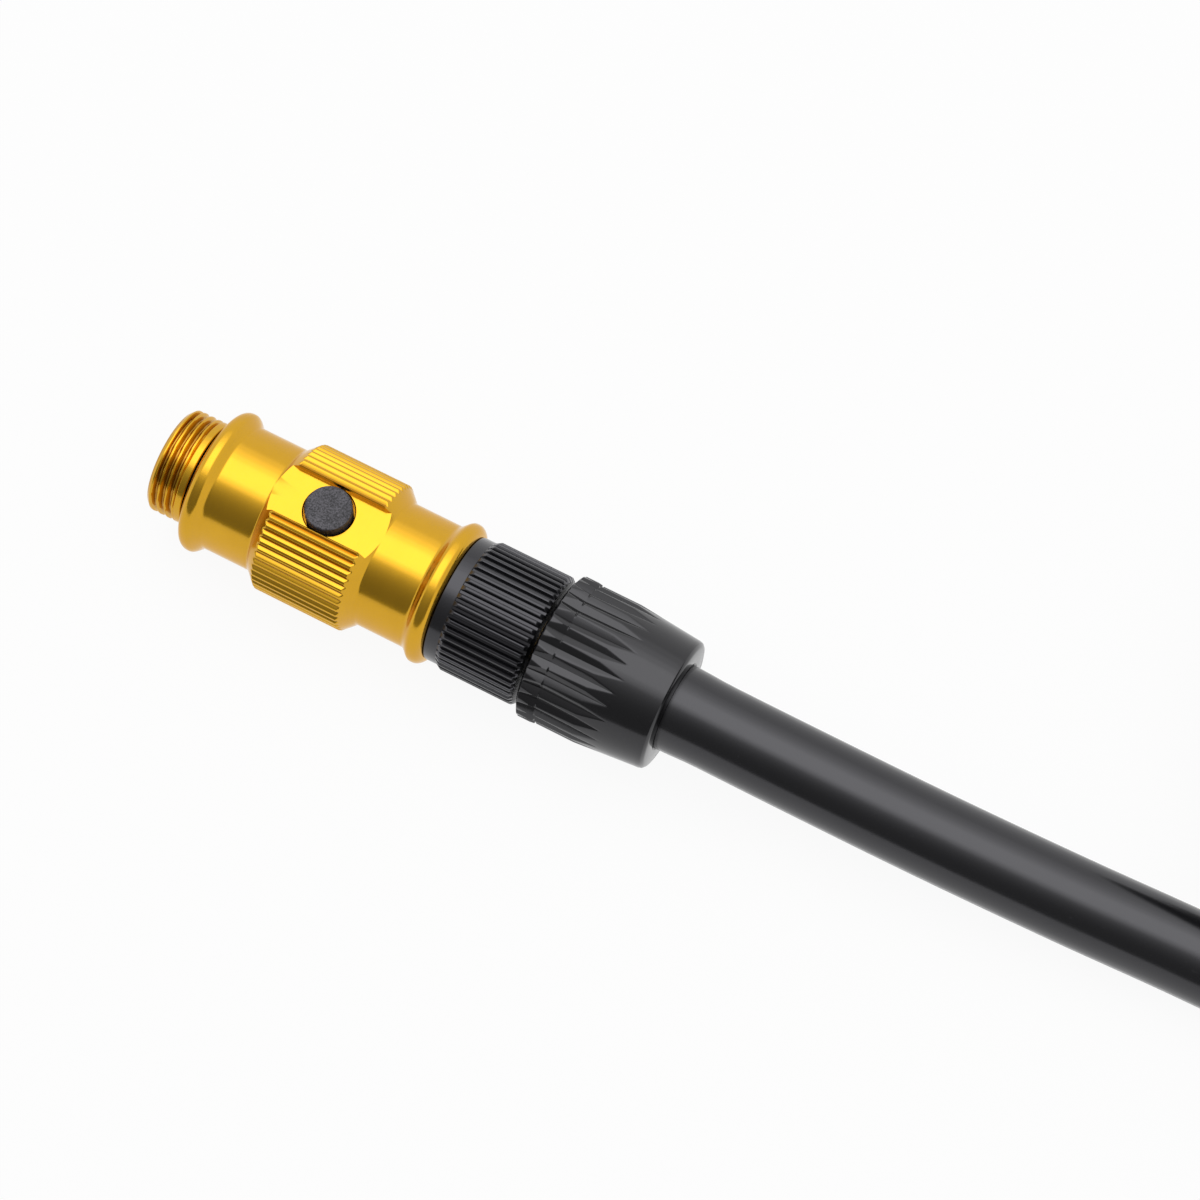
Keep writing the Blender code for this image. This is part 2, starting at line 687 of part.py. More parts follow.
def hose_run_points():
    """Route of the free hose from the boot to the coil, in world coordinates."""
    fall = axis_height - HOSE_RADIUS
    start = boot_x + JOINT_GAP
    route = [Vector((start + ahead, aside, HOSE_RADIUS + fall * share))
             for ahead, aside, share in HOSE_ROUTE]
    first, second = coil_points()[:2]
    heading = (second - first).normalized()
    meeting = first - heading * JOINT_GAP
    route.append(meeting - heading * 2 * HOSE_RADIUS)
    return resample(smooth_curve(route, ROUTE_STEPS), HOSE_STEP) + [meeting]


def coil_radius_at(turn):
    if turn <= 1.0:
        return COIL_OUTER - coil_pitch * turn
    return COIL_OUTER - coil_pitch * (2.0 - turn)


def coil_place(turn):
    """Middle of the hose at a number of turns into the coil."""
    angle = COIL_START_ANGLE + math.tau * turn
    climb = min(1.0, max(0.0, (turn - COIL_CLIMB_START) / COIL_CLIMB_TURNS))
    lift = coil_pitch * climb * climb * (3.0 - 2.0 * climb)
    radius = coil_radius_at(turn)
    return coil_centre + Vector((radius * math.cos(angle), radius * math.sin(angle), lift))


def coil_heading(turn):
    angle = COIL_START_ANGLE + math.tau * turn
    return Vector((-math.sin(angle), math.cos(angle), 0.0))


def coil_end():
    """Where the coil's last turn ends, and the direction of the straight tail from there."""
    level = coil_heading(coil_turns)
    direction = level * math.cos(COIL_TAIL_SLOPE) - Vector((0.0, 0.0, math.sin(COIL_TAIL_SLOPE)))
    return coil_place(coil_turns), direction


def coil_points():
    points = [coil_place(0.0) - coil_heading(0.0) * 2 * HOSE_RADIUS]
    points += [coil_place(step / COIL_POINTS) for step in range(COIL_STEPS + 1)]
    last, direction = coil_end()
    points.append(last + direction * COIL_TAIL)
    return points


def build_free_hose():
    run = tube("hose_run", hose_run_points(), HOSE_RADIUS, RUN_RESOLUTION)
    add_piece("hose_run", run, HOSE_RUBBER, None)
    points = coil_points()
    coil = tube("hose_coil", points, HOSE_RADIUS, COIL_RESOLUTION)
    add_piece("hose_coil", coil, HOSE_RUBBER, None)
    print("hose_coil least gap to itself: %.3f mm"
          % (least_self_gap(points, 2 * HOSE_RADIUS, math.pi * COIL_OUTER) / MM))
    length = sum((b - a).length for a, b in zip(points, points[1:]))
    run_points = hose_run_points()
    length += sum((b - a).length for a, b in zip(run_points, run_points[1:]))
    print("free hose length: %.1f mm" % (length / MM))


def build_tie(name, step):
    """Strap round the two stacked turns of the coil at one of its steps, of steady width."""
    turn = step / COIL_POINTS
    next_turn = (step + 1) / COIL_POINTS
    low = (coil_place(turn) + coil_place(next_turn)) / 2
    high = (coil_place(turn + 1.0) + coil_place(next_turn + 1.0)) / 2
    angle = COIL_START_ANGLE + math.pi * (turn + next_turn)
    across = Vector((math.cos(angle), math.sin(angle), 0.0))
    upward = Vector((0.0, 0.0, 1.0))
    offset = Vector(((high - low).dot(across), (high - low).z))
    stack = offset.normalized()
    side = Vector((stack.y, -stack.x))
    inner = HOSE_RADIUS + TIE_PLAY
    curve = bpy.data.curves.new(name, 'CURVE')
    curve.dimensions = '2D'
    curve.fill_mode = 'BOTH'
    curve.extrude = TIE_WIDTH / 2
    for radius in (inner + TIE_THICKNESS, inner):
        spline = curve.splines.new('POLY')
        outline = []
        for centre, way in ((offset, 1.0), (Vector((0.0, 0.0)), -1.0)):
            for index in range(TIE_ARC_POINTS + 1):
                swing = math.pi * index / TIE_ARC_POINTS
                reach = side * math.cos(swing) + stack * math.sin(swing)
                outline.append(centre + reach * way * radius)
        spline.points.add(len(outline) - 1)
        for target, point in zip(spline.points, outline):
            target.co = (point.x, point.y, 0.0, 1.0)
        spline.use_cyclic_u = True
    piece = add_piece(name, curve, TIE_FABRIC, None)
    turned_frame = Matrix((across, upward, across.cross(upward))).transposed()
    piece.matrix_world = Matrix.Translation(low) @ turned_frame.to_4x4()


def build_pump_end():
    """Clamped hose end, ferrule, barb, washer and swivel nut, along the coil's tail."""
    shank = HOSE_BORE - SLIP
    neck = HOSE_BORE + PUMP_NECK_STEP
    hose_low = JOINT_GAP
    ferrule_end = hose_low + PUMP_FERRULE_LENGTH
    hose_high = ferrule_end - FERRULE_FLOOR - SEAT
    turned("pump_hose_end", ring_outline(HOSE_BORE, HOSE_RADIUS, hose_low, hose_high),
           HOSE_RUBBER, SMALL_FACETS + 4, pump_axis)
    turned("pump_ferrule", [
        (ferrule_radius, ferrule_end),
        (ferrule_radius, hose_low),
        (ferrule_bore, hose_low),
        (ferrule_bore, hose_high + SEAT),
        (neck + SLIP, hose_high + SEAT),
        (neck + SLIP, ferrule_end),
    ], STEEL, SMALL_FACETS + 4, pump_axis)
    nut_low = ferrule_end + SEAT
    nut_high = nut_low + PUMP_NUT_LENGTH
    nut_floor = nut_low + PUMP_NUT_FLOOR
    head_low = nut_floor + SEAT
    head_high = head_low + PUMP_HEAD_LENGTH
    head_radius = PUMP_NUT_BORE - SLIP
    tip = hose_high - BARB_LENGTH
    outline = [
        (head_radius, head_high),
        (head_radius, head_low),
        (neck, head_low),
        (neck, hose_high + SEAT),
        (shank - BARB_TOOTH, hose_high + SEAT),
    ]
    for radius, height in reversed(barb_teeth(shank, 0.0, BARB_LENGTH, BARB_TEETH, BARB_TOOTH)):
        outline.append((radius, tip + BARB_LENGTH - height))
    outline += [(BARB_BORE, tip), (BARB_BORE, head_high)]
    turned("pump_barb", outline, BRASS, SMALL_FACETS, pump_axis)
    turned("pump_washer",
           ring_outline(PUMP_WASHER_HOLE, head_radius, head_high + SEAT,
                        head_high + SEAT + PUMP_WASHER_LENGTH),
           SEAL_RUBBER, SMALL_FACETS, pump_axis)
    corner = PUMP_NUT_FLATS / math.sqrt(3.0)
    nut_mesh = bpy.data.meshes.new("pump_nut")
    shape = bmesh.new()
    bmesh.ops.create_cone(shape, cap_ends=True, segments=6, radius1=corner, radius2=corner,
                          depth=PUMP_NUT_LENGTH)
    bmesh.ops.translate(shape, vec=(0.0, 0.0, (nut_low + nut_high) / 2), verts=shape.verts)
    shape.to_mesh(nut_mesh)
    shape.free()
    nut = add_piece("pump_nut", nut_mesh, BLACK_METAL, pump_axis)
    flats = PUMP_NUT_FLATS / 2
    envelope = add_cutter("pump_nut_envelope", turned_mesh("pump_nut_envelope", [
        (flats - PUMP_NUT_CHAMFER, nut_high),
        (corner + PUMP_NUT_CHAMFER, nut_high - corner + flats - 2 * PUMP_NUT_CHAMFER),
        (corner + PUMP_NUT_CHAMFER, nut_low + corner - flats + 2 * PUMP_NUT_CHAMFER),
        (flats - PUMP_NUT_CHAMFER, nut_low),
        (neck + SLIP, nut_low),
        (neck + SLIP, nut_floor),
        (PUMP_NUT_BORE, nut_floor),
        (PUMP_NUT_BORE, nut_high),
    ], True), pump_axis)
    spin(envelope, RING_FACETS)
    cut(nut, envelope, 'INTERSECT')


clear_scene()
parts = new_collection("inflator_hose")
cutters = new_collection("cutters")
chuck_axis = add_empty("chuck_axis", (chuck_x, 0.0, axis_height), (0.0, math.pi / 2, 0.0))
button_axis = add_empty("button_axis", (chuck_x, 0.0, axis_height))
tail_start, tail_direction = coil_end()
pump_axis = add_empty("pump_axis", tail_start + tail_direction * COIL_TAIL,
                      tail_direction.to_track_quat('Z', 'Y').to_euler())

build_chuck_body()
build_chuck_seals()
build_bleed_valve()
build_hose_end()
build_hose_fitting()
build_boot()
build_free_hose()
for number, tie_step in enumerate(TIE_STEPS, start=1):
    build_tie("hose_tie_%d" % number, tie_step)
build_pump_end()
bpy.context.view_layer.update()
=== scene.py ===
import math

import bmesh
import bpy
import numpy as np
from mathutils import Matrix, Vector


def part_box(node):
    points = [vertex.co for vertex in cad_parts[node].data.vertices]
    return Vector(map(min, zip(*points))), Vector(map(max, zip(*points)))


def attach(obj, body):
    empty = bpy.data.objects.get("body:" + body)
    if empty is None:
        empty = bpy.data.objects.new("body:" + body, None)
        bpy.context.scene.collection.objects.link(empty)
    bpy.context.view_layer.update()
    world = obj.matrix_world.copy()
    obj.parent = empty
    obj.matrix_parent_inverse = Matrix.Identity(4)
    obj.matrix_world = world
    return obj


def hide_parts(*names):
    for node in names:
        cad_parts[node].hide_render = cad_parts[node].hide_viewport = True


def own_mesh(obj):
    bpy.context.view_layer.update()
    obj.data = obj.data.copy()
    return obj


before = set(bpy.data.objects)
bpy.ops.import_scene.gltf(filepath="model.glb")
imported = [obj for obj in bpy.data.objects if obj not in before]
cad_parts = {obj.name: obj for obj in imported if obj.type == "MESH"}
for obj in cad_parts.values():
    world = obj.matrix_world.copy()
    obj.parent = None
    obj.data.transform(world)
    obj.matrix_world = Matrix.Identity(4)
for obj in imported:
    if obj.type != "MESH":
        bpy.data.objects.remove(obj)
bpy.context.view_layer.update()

MM = 0.001  # sizes below are in mm, and Blender's are in metres
SAME = 1e-6  # lengths nearer than this are the same
WELD = 1e-8  # points nearer than this, in metres, become one
CREASE = 35.0  # edges that turn by more than this stay sharp

# Axis of the chuck, hose end and boot: along world X at this height. Stations along it are in mm from
# the middle of the chuck, positive towards the hose.
CHUCK_X = -9.025
AXIS_Z = 7.25
BOOT_END = 34.68
HOSE_R = 3.95


def smooth(edge0, edge1, value):
    t = np.clip((value - edge0) / (edge1 - edge0), 0.0, 1.0)
    return t * t * (3.0 - 2.0 * t)


# Mesh helpers

def face_outwards(shape):
    bmesh.ops.recalc_face_normals(shape, faces=shape.faces)
    if shape.calc_volume(signed=True) < 0.0:
        bmesh.ops.reverse_faces(shape, faces=shape.faces)


def new_object(name, data):
    made = bpy.data.objects.new(name, data)
    bpy.context.scene.collection.objects.link(made)
    return made


def mesh_object(name, points, faces, material, sharp=CREASE):
    """Closed mesh in mm, made into an object in metres with creases above the sharp angle."""
    mesh = bpy.data.meshes.new(name)
    mesh.from_pydata([(x * MM, y * MM, z * MM) for x, y, z in points], [], faces)
    shape = bmesh.new()
    shape.from_mesh(mesh)
    bmesh.ops.remove_doubles(shape, verts=shape.verts, dist=WELD)
    face_outwards(shape)
    shape.to_mesh(mesh)
    shape.free()
    mesh.shade_smooth()
    mesh.set_sharp_from_angle(angle=math.radians(sharp))
    mesh.materials.append(material)
    return new_object(name, mesh)


def ring_faces(rings, columns, loop):
    """Quads between neighbouring rings of columns points each, and from the last ring to the first."""
    faces = []
    last = rings if loop else rings - 1
    for ring in range(last):
        low = ring * columns
        high = ((ring + 1) % rings) * columns
        for column in range(columns):
            beside = (column + 1) % columns
            faces.append((low + column, low + beside, high + beside, high + column))
    return faces


def tube_faces(rings, columns, first=0):
    """Quads of a tube whose points start at number first, and a cap on each of its ends."""
    faces = ring_faces(rings, columns, False)
    faces += [tuple(range(columns)), tuple(range((rings - 1) * columns, rings * columns))]
    return [tuple(first + corner for corner in face) for face in faces]


CHUCK_AXIS = (Vector((CHUCK_X, 0.0, AXIS_Z)), Vector((1.0, 0.0, 0.0)), Vector((0.0, 0.0, 1.0)))


def turned(name, profile, angles, material, shape=None, sharp=CREASE, axis=CHUCK_AXIS):
    """Turn a closed profile of (station, radius) about an axis: its origin, direction and zero angle.

    shape(stations, radii, angles) may change the radii point by point."""
    origin, ahead, upward = (np.array(part) for part in axis)
    aside = np.cross(ahead, upward)
    profile = np.array(profile, float)
    stations, theta = np.meshgrid(profile[:, 0], angles, indexing='ij')
    radii = np.repeat(profile[:, 1:2], len(angles), axis=1)
    if shape is not None:
        radii = shape(stations, radii, theta)
    reach = np.cos(theta)[..., None] * upward + np.sin(theta)[..., None] * aside
    points = origin + stations[..., None] * ahead + radii[..., None] * reach
    faces = ring_faces(len(profile), len(angles), True)
    return mesh_object(name, points.reshape(-1, 3), faces, material, sharp)


def even_angles(count):
    return np.arange(count) * math.tau / count


MOST_OF_A_SIDE = 0.45  # share of a side that the rounding at one of its ends may take


def rounded(corners, steps=5):
    """Polyline through (station, radius, rounding) corners, with each corner eased by a short curve."""
    points = []
    count = len(corners)
    for index in range(count):
        here = np.array(corners[index][:2], float)
        size = corners[index][2]
        before = np.array(corners[index - 1][:2], float) - here
        after = np.array(corners[(index + 1) % count][:2], float) - here
        if size <= 0.0:
            points.append(here)
            continue
        before_unit = before / np.linalg.norm(before)
        after_unit = after / np.linalg.norm(after)
        angle = math.acos(float(np.clip(before_unit @ after_unit, -1.0, 1.0)))
        room = MOST_OF_A_SIDE * min(np.linalg.norm(before), np.linalg.norm(after))
        reach = min(size / math.tan(angle / 2), room)
        start = here + before_unit * reach
        end = here + after_unit * reach
        for step in range(steps + 1):
            t = step / steps
            points.append((1 - t) ** 2 * start + 2 * t * (1 - t) * here + t ** 2 * end)
    return points


def refine(points, length, low, high):
    """Split the steps of a polyline that lie between two stations into steps of at most length."""
    result = []
    for first, second in zip(points, points[1:]):
        first = np.array(first, float)
        second = np.array(second, float)
        middle = (first[0] + second[0]) / 2
        parts = 1
        if low <= middle <= high:
            parts = max(1, math.ceil(np.linalg.norm(second - first) / length))
        for step in range(parts):
            result.append(first + (second - first) * step / parts)
    result.append(np.array(points[-1], float))
    return result


def groove_distance(theta, count, radius):
    """Distance round the surface to the nearest of count evenly spaced groove lines, in mm."""
    turns = theta * count / math.tau - 0.5
    return np.abs(turns - np.round(turns)) * math.tau / count * radius


def groove_angles(count, offsets):
    """Angles at the given shares of half a pitch either side of every groove line."""
    shares = sorted(set([-s for s in offsets if 0.0 < s < 1.0] + list(offsets)))
    angles = []
    for index in range(count):
        for share in shares:
            angles.append((index + 0.5 + share / 2) * math.tau / count)
    return np.array(angles)


def cut_with(piece, cutter):
    """Cut a piece with a closed cutter, keep the result as its mesh and remove the cutter."""
    modifier = piece.modifiers.new("cut", 'BOOLEAN')
    modifier.operation = 'DIFFERENCE'
    modifier.solver = 'EXACT'
    modifier.object = cutter
    graph = bpy.context.evaluated_depsgraph_get()
    mesh = bpy.data.meshes.new_from_object(piece.evaluated_get(graph))
    piece.modifiers.remove(modifier)
    piece.data = mesh
    bpy.data.objects.remove(cutter, do_unlink=True)


# Materials

def feed(tree, target, inputs):
    """Link the sockets given for a node's inputs, and set the other inputs to the values given."""
    for key, value in inputs.items():
        if isinstance(value, bpy.types.NodeSocket):
            tree.links.new(value, target.inputs[key])
        else:
            target.inputs[key].default_value = value


def node(tree, kind, inputs={}, **settings):
    made = tree.nodes.new(kind)
    for key, value in settings.items():
        setattr(made, key, value)
    feed(tree, made, inputs)
    return made


def calculated(tree, operation, *values):
    return node(tree, 'ShaderNodeMath', dict(enumerate(values)), operation=operation).outputs[0]


def new_material(name):
    material = bpy.data.materials.new(name)
    material.use_nodes = True
    tree = material.node_tree
    shader = tree.nodes["Principled BSDF"]
    coords = node(tree, 'ShaderNodeTexCoord').outputs['Object']
    return material, tree, shader, coords


def stretched(tree, coords, scale):
    return node(tree, 'ShaderNodeVectorMath', {0: coords, 1: scale}, operation='MULTIPLY').outputs[0]


def noise(tree, vector, scale, detail=3.0, rough=0.55):
    return node(tree, 'ShaderNodeTexNoise', {'Vector': vector, 'Scale': scale, 'Detail': detail,
                                             'Roughness': rough}).outputs['Fac']


def ramp(tree, value, low, high, out_low=0.0, out_high=1.0):
    return node(tree, 'ShaderNodeMapRange', {'Value': value, 'From Min': low, 'From Max': high,
                                             'To Min': out_low, 'To Max': out_high}).outputs['Result']


def mixed(tree, factor, first, second):
    made = node(tree, 'ShaderNodeMix', data_type='RGBA')
    tree.links.new(factor, made.inputs['Factor'])
    for socket, value in ((made.inputs[6], first), (made.inputs[7], second)):
        if isinstance(value, bpy.types.NodeSocket):
            tree.links.new(value, socket)
        else:
            socket.default_value = (*value, 1.0)
    return made.outputs[2]


def product(tree, first, second):
    return calculated(tree, 'MULTIPLY', first, second)


def summed(tree, first, second, weight):
    return calculated(tree, 'ADD', first, product(tree, second, weight))


def larger(tree, first, second):
    return calculated(tree, 'MAXIMUM', first, second)


def bump(tree, shader, height, distance, strength=1.0):
    made = node(tree, 'ShaderNodeBump', {'Height': height, 'Distance': distance, 'Strength': strength})
    feed(tree, shader, {'Normal': made.outputs['Normal']})


def metal_material(name, dark, light, roughness, spread, lathe=0.5, relief=0.000004):
    """Turned metal: cloudy colour, fine grain and rings left by the tool along the axis."""
    material, tree, shader, coords = new_material(name)
    rings = noise(tree, stretched(tree, coords, (9000.0, 60.0, 60.0)), 1.0, 2.0)
    cloud = noise(tree, coords, 260.0, 3.0)
    grain = noise(tree, coords, 9000.0, 2.0)
    tone = summed(tree, cloud, rings, 0.35)
    colour = mixed(tree, ramp(tree, tone, 0.4, 0.95), dark, light)
    level = summed(tree, grain, rings, lathe)
    gloss = ramp(tree, level, 0.3, 1.2, roughness - spread, roughness + spread)
    feed(tree, shader, {'Base Color': colour, 'Roughness': gloss, 'Metallic': 1.0})
    bump(tree, shader, summed(tree, grain, rings, 2.0 * lathe), relief)
    return material


def moulded_material(name, dark, light, roughness, spread, grain_scale, relief, specular=0.5,
                     tint=(1.0, 1.0, 1.0)):
    """Moulded plastic or rubber: soft tone changes, fine grain and a few pale dust specks."""
    material, tree, shader, coords = new_material(name)
    cloud = noise(tree, coords, 180.0, 4.0)
    grain = noise(tree, coords, grain_scale, 3.0, 0.6)
    tone = summed(tree, cloud, grain, 0.6)
    colour = mixed(tree, ramp(tree, tone, 0.5, 1.1), dark, light)
    specks = ramp(tree, noise(tree, coords, 2600.0, 1.0, 0.3), 0.74, 0.82, 0.0, 0.35)
    pale = tuple(min(1.0, 4.0 * c + 0.02) for c in light)
    gloss = ramp(tree, tone, 0.5, 1.1, roughness - spread, roughness + spread)
    feed(tree, shader, {'Base Color': mixed(tree, specks, colour, pale), 'Roughness': gloss,
                        'Specular IOR Level': specular, 'Specular Tint': (*tint, 1.0)})
    bump(tree, shader, summed(tree, grain, cloud, 0.4), relief)
    return material


def grained_material(name, dark, light):
    """Coarse-grained plastic, pale on the tops of its grain."""
    material, tree, shader, coords = new_material(name)
    grain = noise(tree, coords, 6500.0, 2.0, 0.5)
    tone = summed(tree, grain, noise(tree, coords, 900.0, 2.0), 0.3)
    colour = mixed(tree, ramp(tree, tone, 0.52, 0.80), dark, light)
    feed(tree, shader, {'Base Color': colour, 'Roughness': ramp(tree, tone, 0.5, 0.8, 0.62, 0.42)})
    bump(tree, shader, tone, 0.00006)
    return material


def weave_material(name, dark, light):
    """Woven strap: crossed threads with a fuzzy, uneven tone."""
    material, tree, shader, coords = new_material(name)
    waves = {'Vector': coords, 'Scale': 420.0, 'Distortion': 1.5, 'Detail': 2.0}
    warp = node(tree, 'ShaderNodeTexWave', waves, wave_type='BANDS', bands_direction='DIAGONAL')
    weft = node(tree, 'ShaderNodeTexWave', waves, wave_type='BANDS', bands_direction='Z')
    threads = product(tree, warp.outputs['Fac'], weft.outputs['Fac'])
    fuzz = noise(tree, coords, 3000.0, 3.0)
    tone = summed(tree, threads, fuzz, 0.5)
    colour = mixed(tree, ramp(tree, tone, 0.1, 1.1), dark, light)
    feed(tree, shader, {'Base Color': colour, 'Roughness': ramp(tree, fuzz, 0.3, 0.7, 0.75, 0.95)})
    bump(tree, shader, tone, 0.00015, 0.7)
    return material


def axis_radius(tree, coords):
    """Distance from the chuck's axis, and distance along it from the chuck's middle, in mm."""
    parts = node(tree, 'ShaderNodeSeparateXYZ', {'Vector': coords}).outputs
    rise = calculated(tree, 'SUBTRACT', parts['Z'], AXIS_Z * MM)
    flat = node(tree, 'ShaderNodeCombineXYZ', {'X': parts['Y'], 'Y': rise}).outputs[0]
    length = node(tree, 'ShaderNodeVectorMath', {0: flat}, operation='LENGTH').outputs['Value']
    reach = calculated(tree, 'ABSOLUTE', calculated(tree, 'SUBTRACT', parts['X'], CHUCK_X * MM))
    return product(tree, length, 1.0 / MM), product(tree, reach, 1.0 / MM)


def gold_material():
    """Bright anodised metal, with painted shade: a dark brown painted into the grooves of the knurl and
    the roots of the thread.
    """
    material = metal_material("gold_anodised", dark=(0.61, 0.322, 0.001), light=(0.66, 0.354, 0.003),
                              roughness=0.19, spread=0.03, lathe=0.4, relief=0.0000012)
    tree = material.node_tree
    shader = tree.nodes["Principled BSDF"]
    colour = shader.inputs['Base Color'].links[0].from_socket
    radius, reach = axis_radius(tree, node(tree, 'ShaderNodeTexCoord').outputs['Object'])
    # Painted shade mask: strongest at the floors of the knurl's grooves above the slot's flat, and in the
    # thread's roots.
    in_groove = ramp(tree, radius, 7.075, 7.015, 0.0, 0.7)
    in_knurl = product(tree, in_groove, ramp(tree, reach, 4.40, 4.30))
    above_flat = product(tree, in_knurl, ramp(tree, radius, 6.60, 6.72))
    in_root = ramp(tree, radius, 4.85, 4.62, 0.0, 0.7)
    in_thread = product(tree, in_root, ramp(tree, reach, 13.2, 13.5))
    painted_groove_shade = larger(tree, above_flat, in_thread)
    # Painted shade: the base colour is mixed towards dark brown where the mask is strong.
    feed(tree, shader, {'Base Color': mixed(tree, painted_groove_shade, colour, (0.26, 0.105, 0.0)), 'Coat Weight': 0.6,
                        'Coat Roughness': 0.12, 'Specular Tint': (0.9, 0.7, 0.35, 1.0)})
    return material


gold = gold_material()
black_metal = moulded_material("black_anodised", dark=(0.0015, 0.0015, 0.0018),
                               light=(0.004, 0.004, 0.0047), roughness=0.17, spread=0.04,
                               grain_scale=6000.0, relief=0.0000008, specular=0.68,
                               tint=(0.93, 0.925, 1.0))
boot_plastic = moulded_material("boot_plastic", dark=(0.0008, 0.0008, 0.001),
                                light=(0.002, 0.002, 0.0023), roughness=0.14, spread=0.03,
                                grain_scale=5200.0, relief=0.0000008, specular=0.62,
                                tint=(0.96, 0.955, 1.0))
hose_rubber = moulded_material("hose_rubber", dark=(0.0008, 0.0008, 0.0011),
                               light=(0.0018, 0.0018, 0.0023), roughness=0.19, spread=0.03,
                               grain_scale=4200.0, relief=0.0000008, specular=0.72,
                               tint=(0.95, 0.945, 1.0))
button_plastic = grained_material("button_plastic", dark=(0.008, 0.0075, 0.010),
                                  light=(0.085, 0.080, 0.095))
seal_rubber = moulded_material("seal_rubber", dark=(0.006, 0.006, 0.006), light=(0.012, 0.012, 0.012),
                               roughness=0.55, spread=0.08, grain_scale=4000.0, relief=0.00001)
brass = metal_material("brass", dark=(0.55, 0.36, 0.11), light=(0.66, 0.46, 0.18), roughness=0.30,
                       spread=0.07)
steel = metal_material("zinc_steel", dark=(0.50, 0.50, 0.52), light=(0.62, 0.62, 0.63), roughness=0.32,
                       spread=0.08)
strap = weave_material("strap_weave", dark=(0.006, 0.006, 0.007), light=(0.035, 0.035, 0.038))


# Chuck: the same outside at both ends, with a wide socket in its free end and a narrow one in the other

KNURL_R = 7.25
KNURL_HALF = 4.27
KNURL_COUNT = 56
KNURL_DEPTH = 0.255
KNURL_CREST = 0.28  # share of the pitch that is flat crest
KNURL_ROUND = 0.06  # share that is eased, either side of the crest's edge
KNURL_FLOOR = 0.95  # share of the depth at which a groove has its floor
KNURL_FINE = 3.6  # station from which the profile has short steps
KNURL_OFFSETS = (0.0, 0.036, 0.35, 0.66, 0.72, 0.78, 1.0)
INSIDE_R = 4.0  # under the knurl, what lies nearer the axis is the inside
CHAMFER_END = 5.50
NECK_R = 6.05
NECK_MIDDLE = 8.0
NECK_STATIONS = (7.0, 8.5, 9.6)
NECK_END = 10.18
FLANGE_R = 6.88
FLANGE_RISE = 1.25
FLANGE_ROUND = 0.95
FLANGE_DROP = 1.1
FLANGE_FACE = 12.53
FLANGE_STEPS = 14
FACE_MIDDLE = 5.2
RELIEF_R = 4.30
RELIEF_EDGE = 0.05
LAND_START = 13.03
LAND_EDGE = 0.07
THREAD_START = 14.03
THREAD_ROOT = 4.58
THREAD_R = 5.0
THREAD_PITCH = 0.75
THREAD_STEPS = 72
THREAD_LAST_R = THREAD_R - 0.03
CHUCK_REACH = 16.63
NOSE_LENGTH = 0.4
NOSE_R = 4.60
NOSE_EDGE = 0.03

SLOT_HALF = 2.43
SLOT_FLOOR = 6.08
SLOT_EDGE = 6.70  # height at which the slot's sides start to flare
SLOT_FLARE = 0.75
SLOT_TOP = 7.45
SLOT_REACH = 6.2
BUTTON_BORE = 2.33
BORE_FLOOR = 3.3
BORE_LEAD = 0.15
ABOVE_CHUCK = 8.0

CAR_SOCKET_R = 3.85
CAR_FLOOR = 8.23
CAR_MOUTH = 0.25
CAR_PITCH = 0.794
CAR_THREAD = 0.27
CAR_THREAD_START = 11.5
CAR_THREAD_END = (15.9, 16.3)
SLIM_SOCKET_R = 2.65
SLIM_FLOOR = 8.03
SOCKET_MOUTH = 0.3
CHAMBER_R = 2.5
CHAMBER_END = 5.03
PORT_R = 1.5
PORT_HEIGHTS = (1.0, 3.4)  # of the port between the chamber and the button's bore

CREST_SHARE = 0.22  # of half a thread's pitch
FLANK_SHARE = 0.6


def thread_form(phase):
    """One on the crests of a thread and nought in its roots, with straight flanks between them."""
    share = np.abs(phase - np.round(phase)) * 2.0
    return 1.0 - np.clip((share - CREST_SHARE) / FLANK_SHARE, 0.0, 1.0)


def chuck_outer_half():
    """Outer profile of the hose-side half, from the chuck's middle to its nose."""
    points = [(0.0, KNURL_R), (2.0, KNURL_R), (KNURL_FINE, KNURL_R)]
    edges = rounded([(0.0, KNURL_R, 0.0), (KNURL_HALF, KNURL_R, 0.2), (CHAMFER_END, NECK_R, 0.45),
                     (NECK_MIDDLE, NECK_R, 0.0), (NECK_MIDDLE, 0.0, 0.0)], 6)[1:-2]
    points += refine(edges, 0.09, KNURL_FINE, CHAMFER_END)
    points += [(station, NECK_R) for station in NECK_STATIONS]
    for step in range(FLANGE_STEPS + 1):
        share = step / FLANGE_STEPS
        lift = (FLANGE_R - NECK_R) * (1 - math.cos(math.pi * share)) / 2
        points.append((NECK_END + FLANGE_RISE * share, NECK_R + lift))
    for step in range(FLANGE_STEPS + 1):
        angle = math.pi / 2 * step / FLANGE_STEPS
        points.append((FLANGE_FACE - FLANGE_ROUND * (1 - math.sin(angle)),
                       FLANGE_R - FLANGE_DROP * (1 - math.cos(angle))))
    points += [(FLANGE_FACE, FACE_MIDDLE), (FLANGE_FACE, RELIEF_R + RELIEF_EDGE),
               (FLANGE_FACE + RELIEF_EDGE, RELIEF_R), (LAND_START - RELIEF_EDGE, RELIEF_R),
               (LAND_START, RELIEF_R + RELIEF_EDGE)]
    length = CHUCK_REACH - NOSE_EDGE - LAND_START
    for step in range(THREAD_STEPS + 1):
        points.append((LAND_START + length * step / THREAD_STEPS, THREAD_R))
    points.append((CHUCK_REACH, NOSE_R - 2 * NOSE_EDGE))
    return points


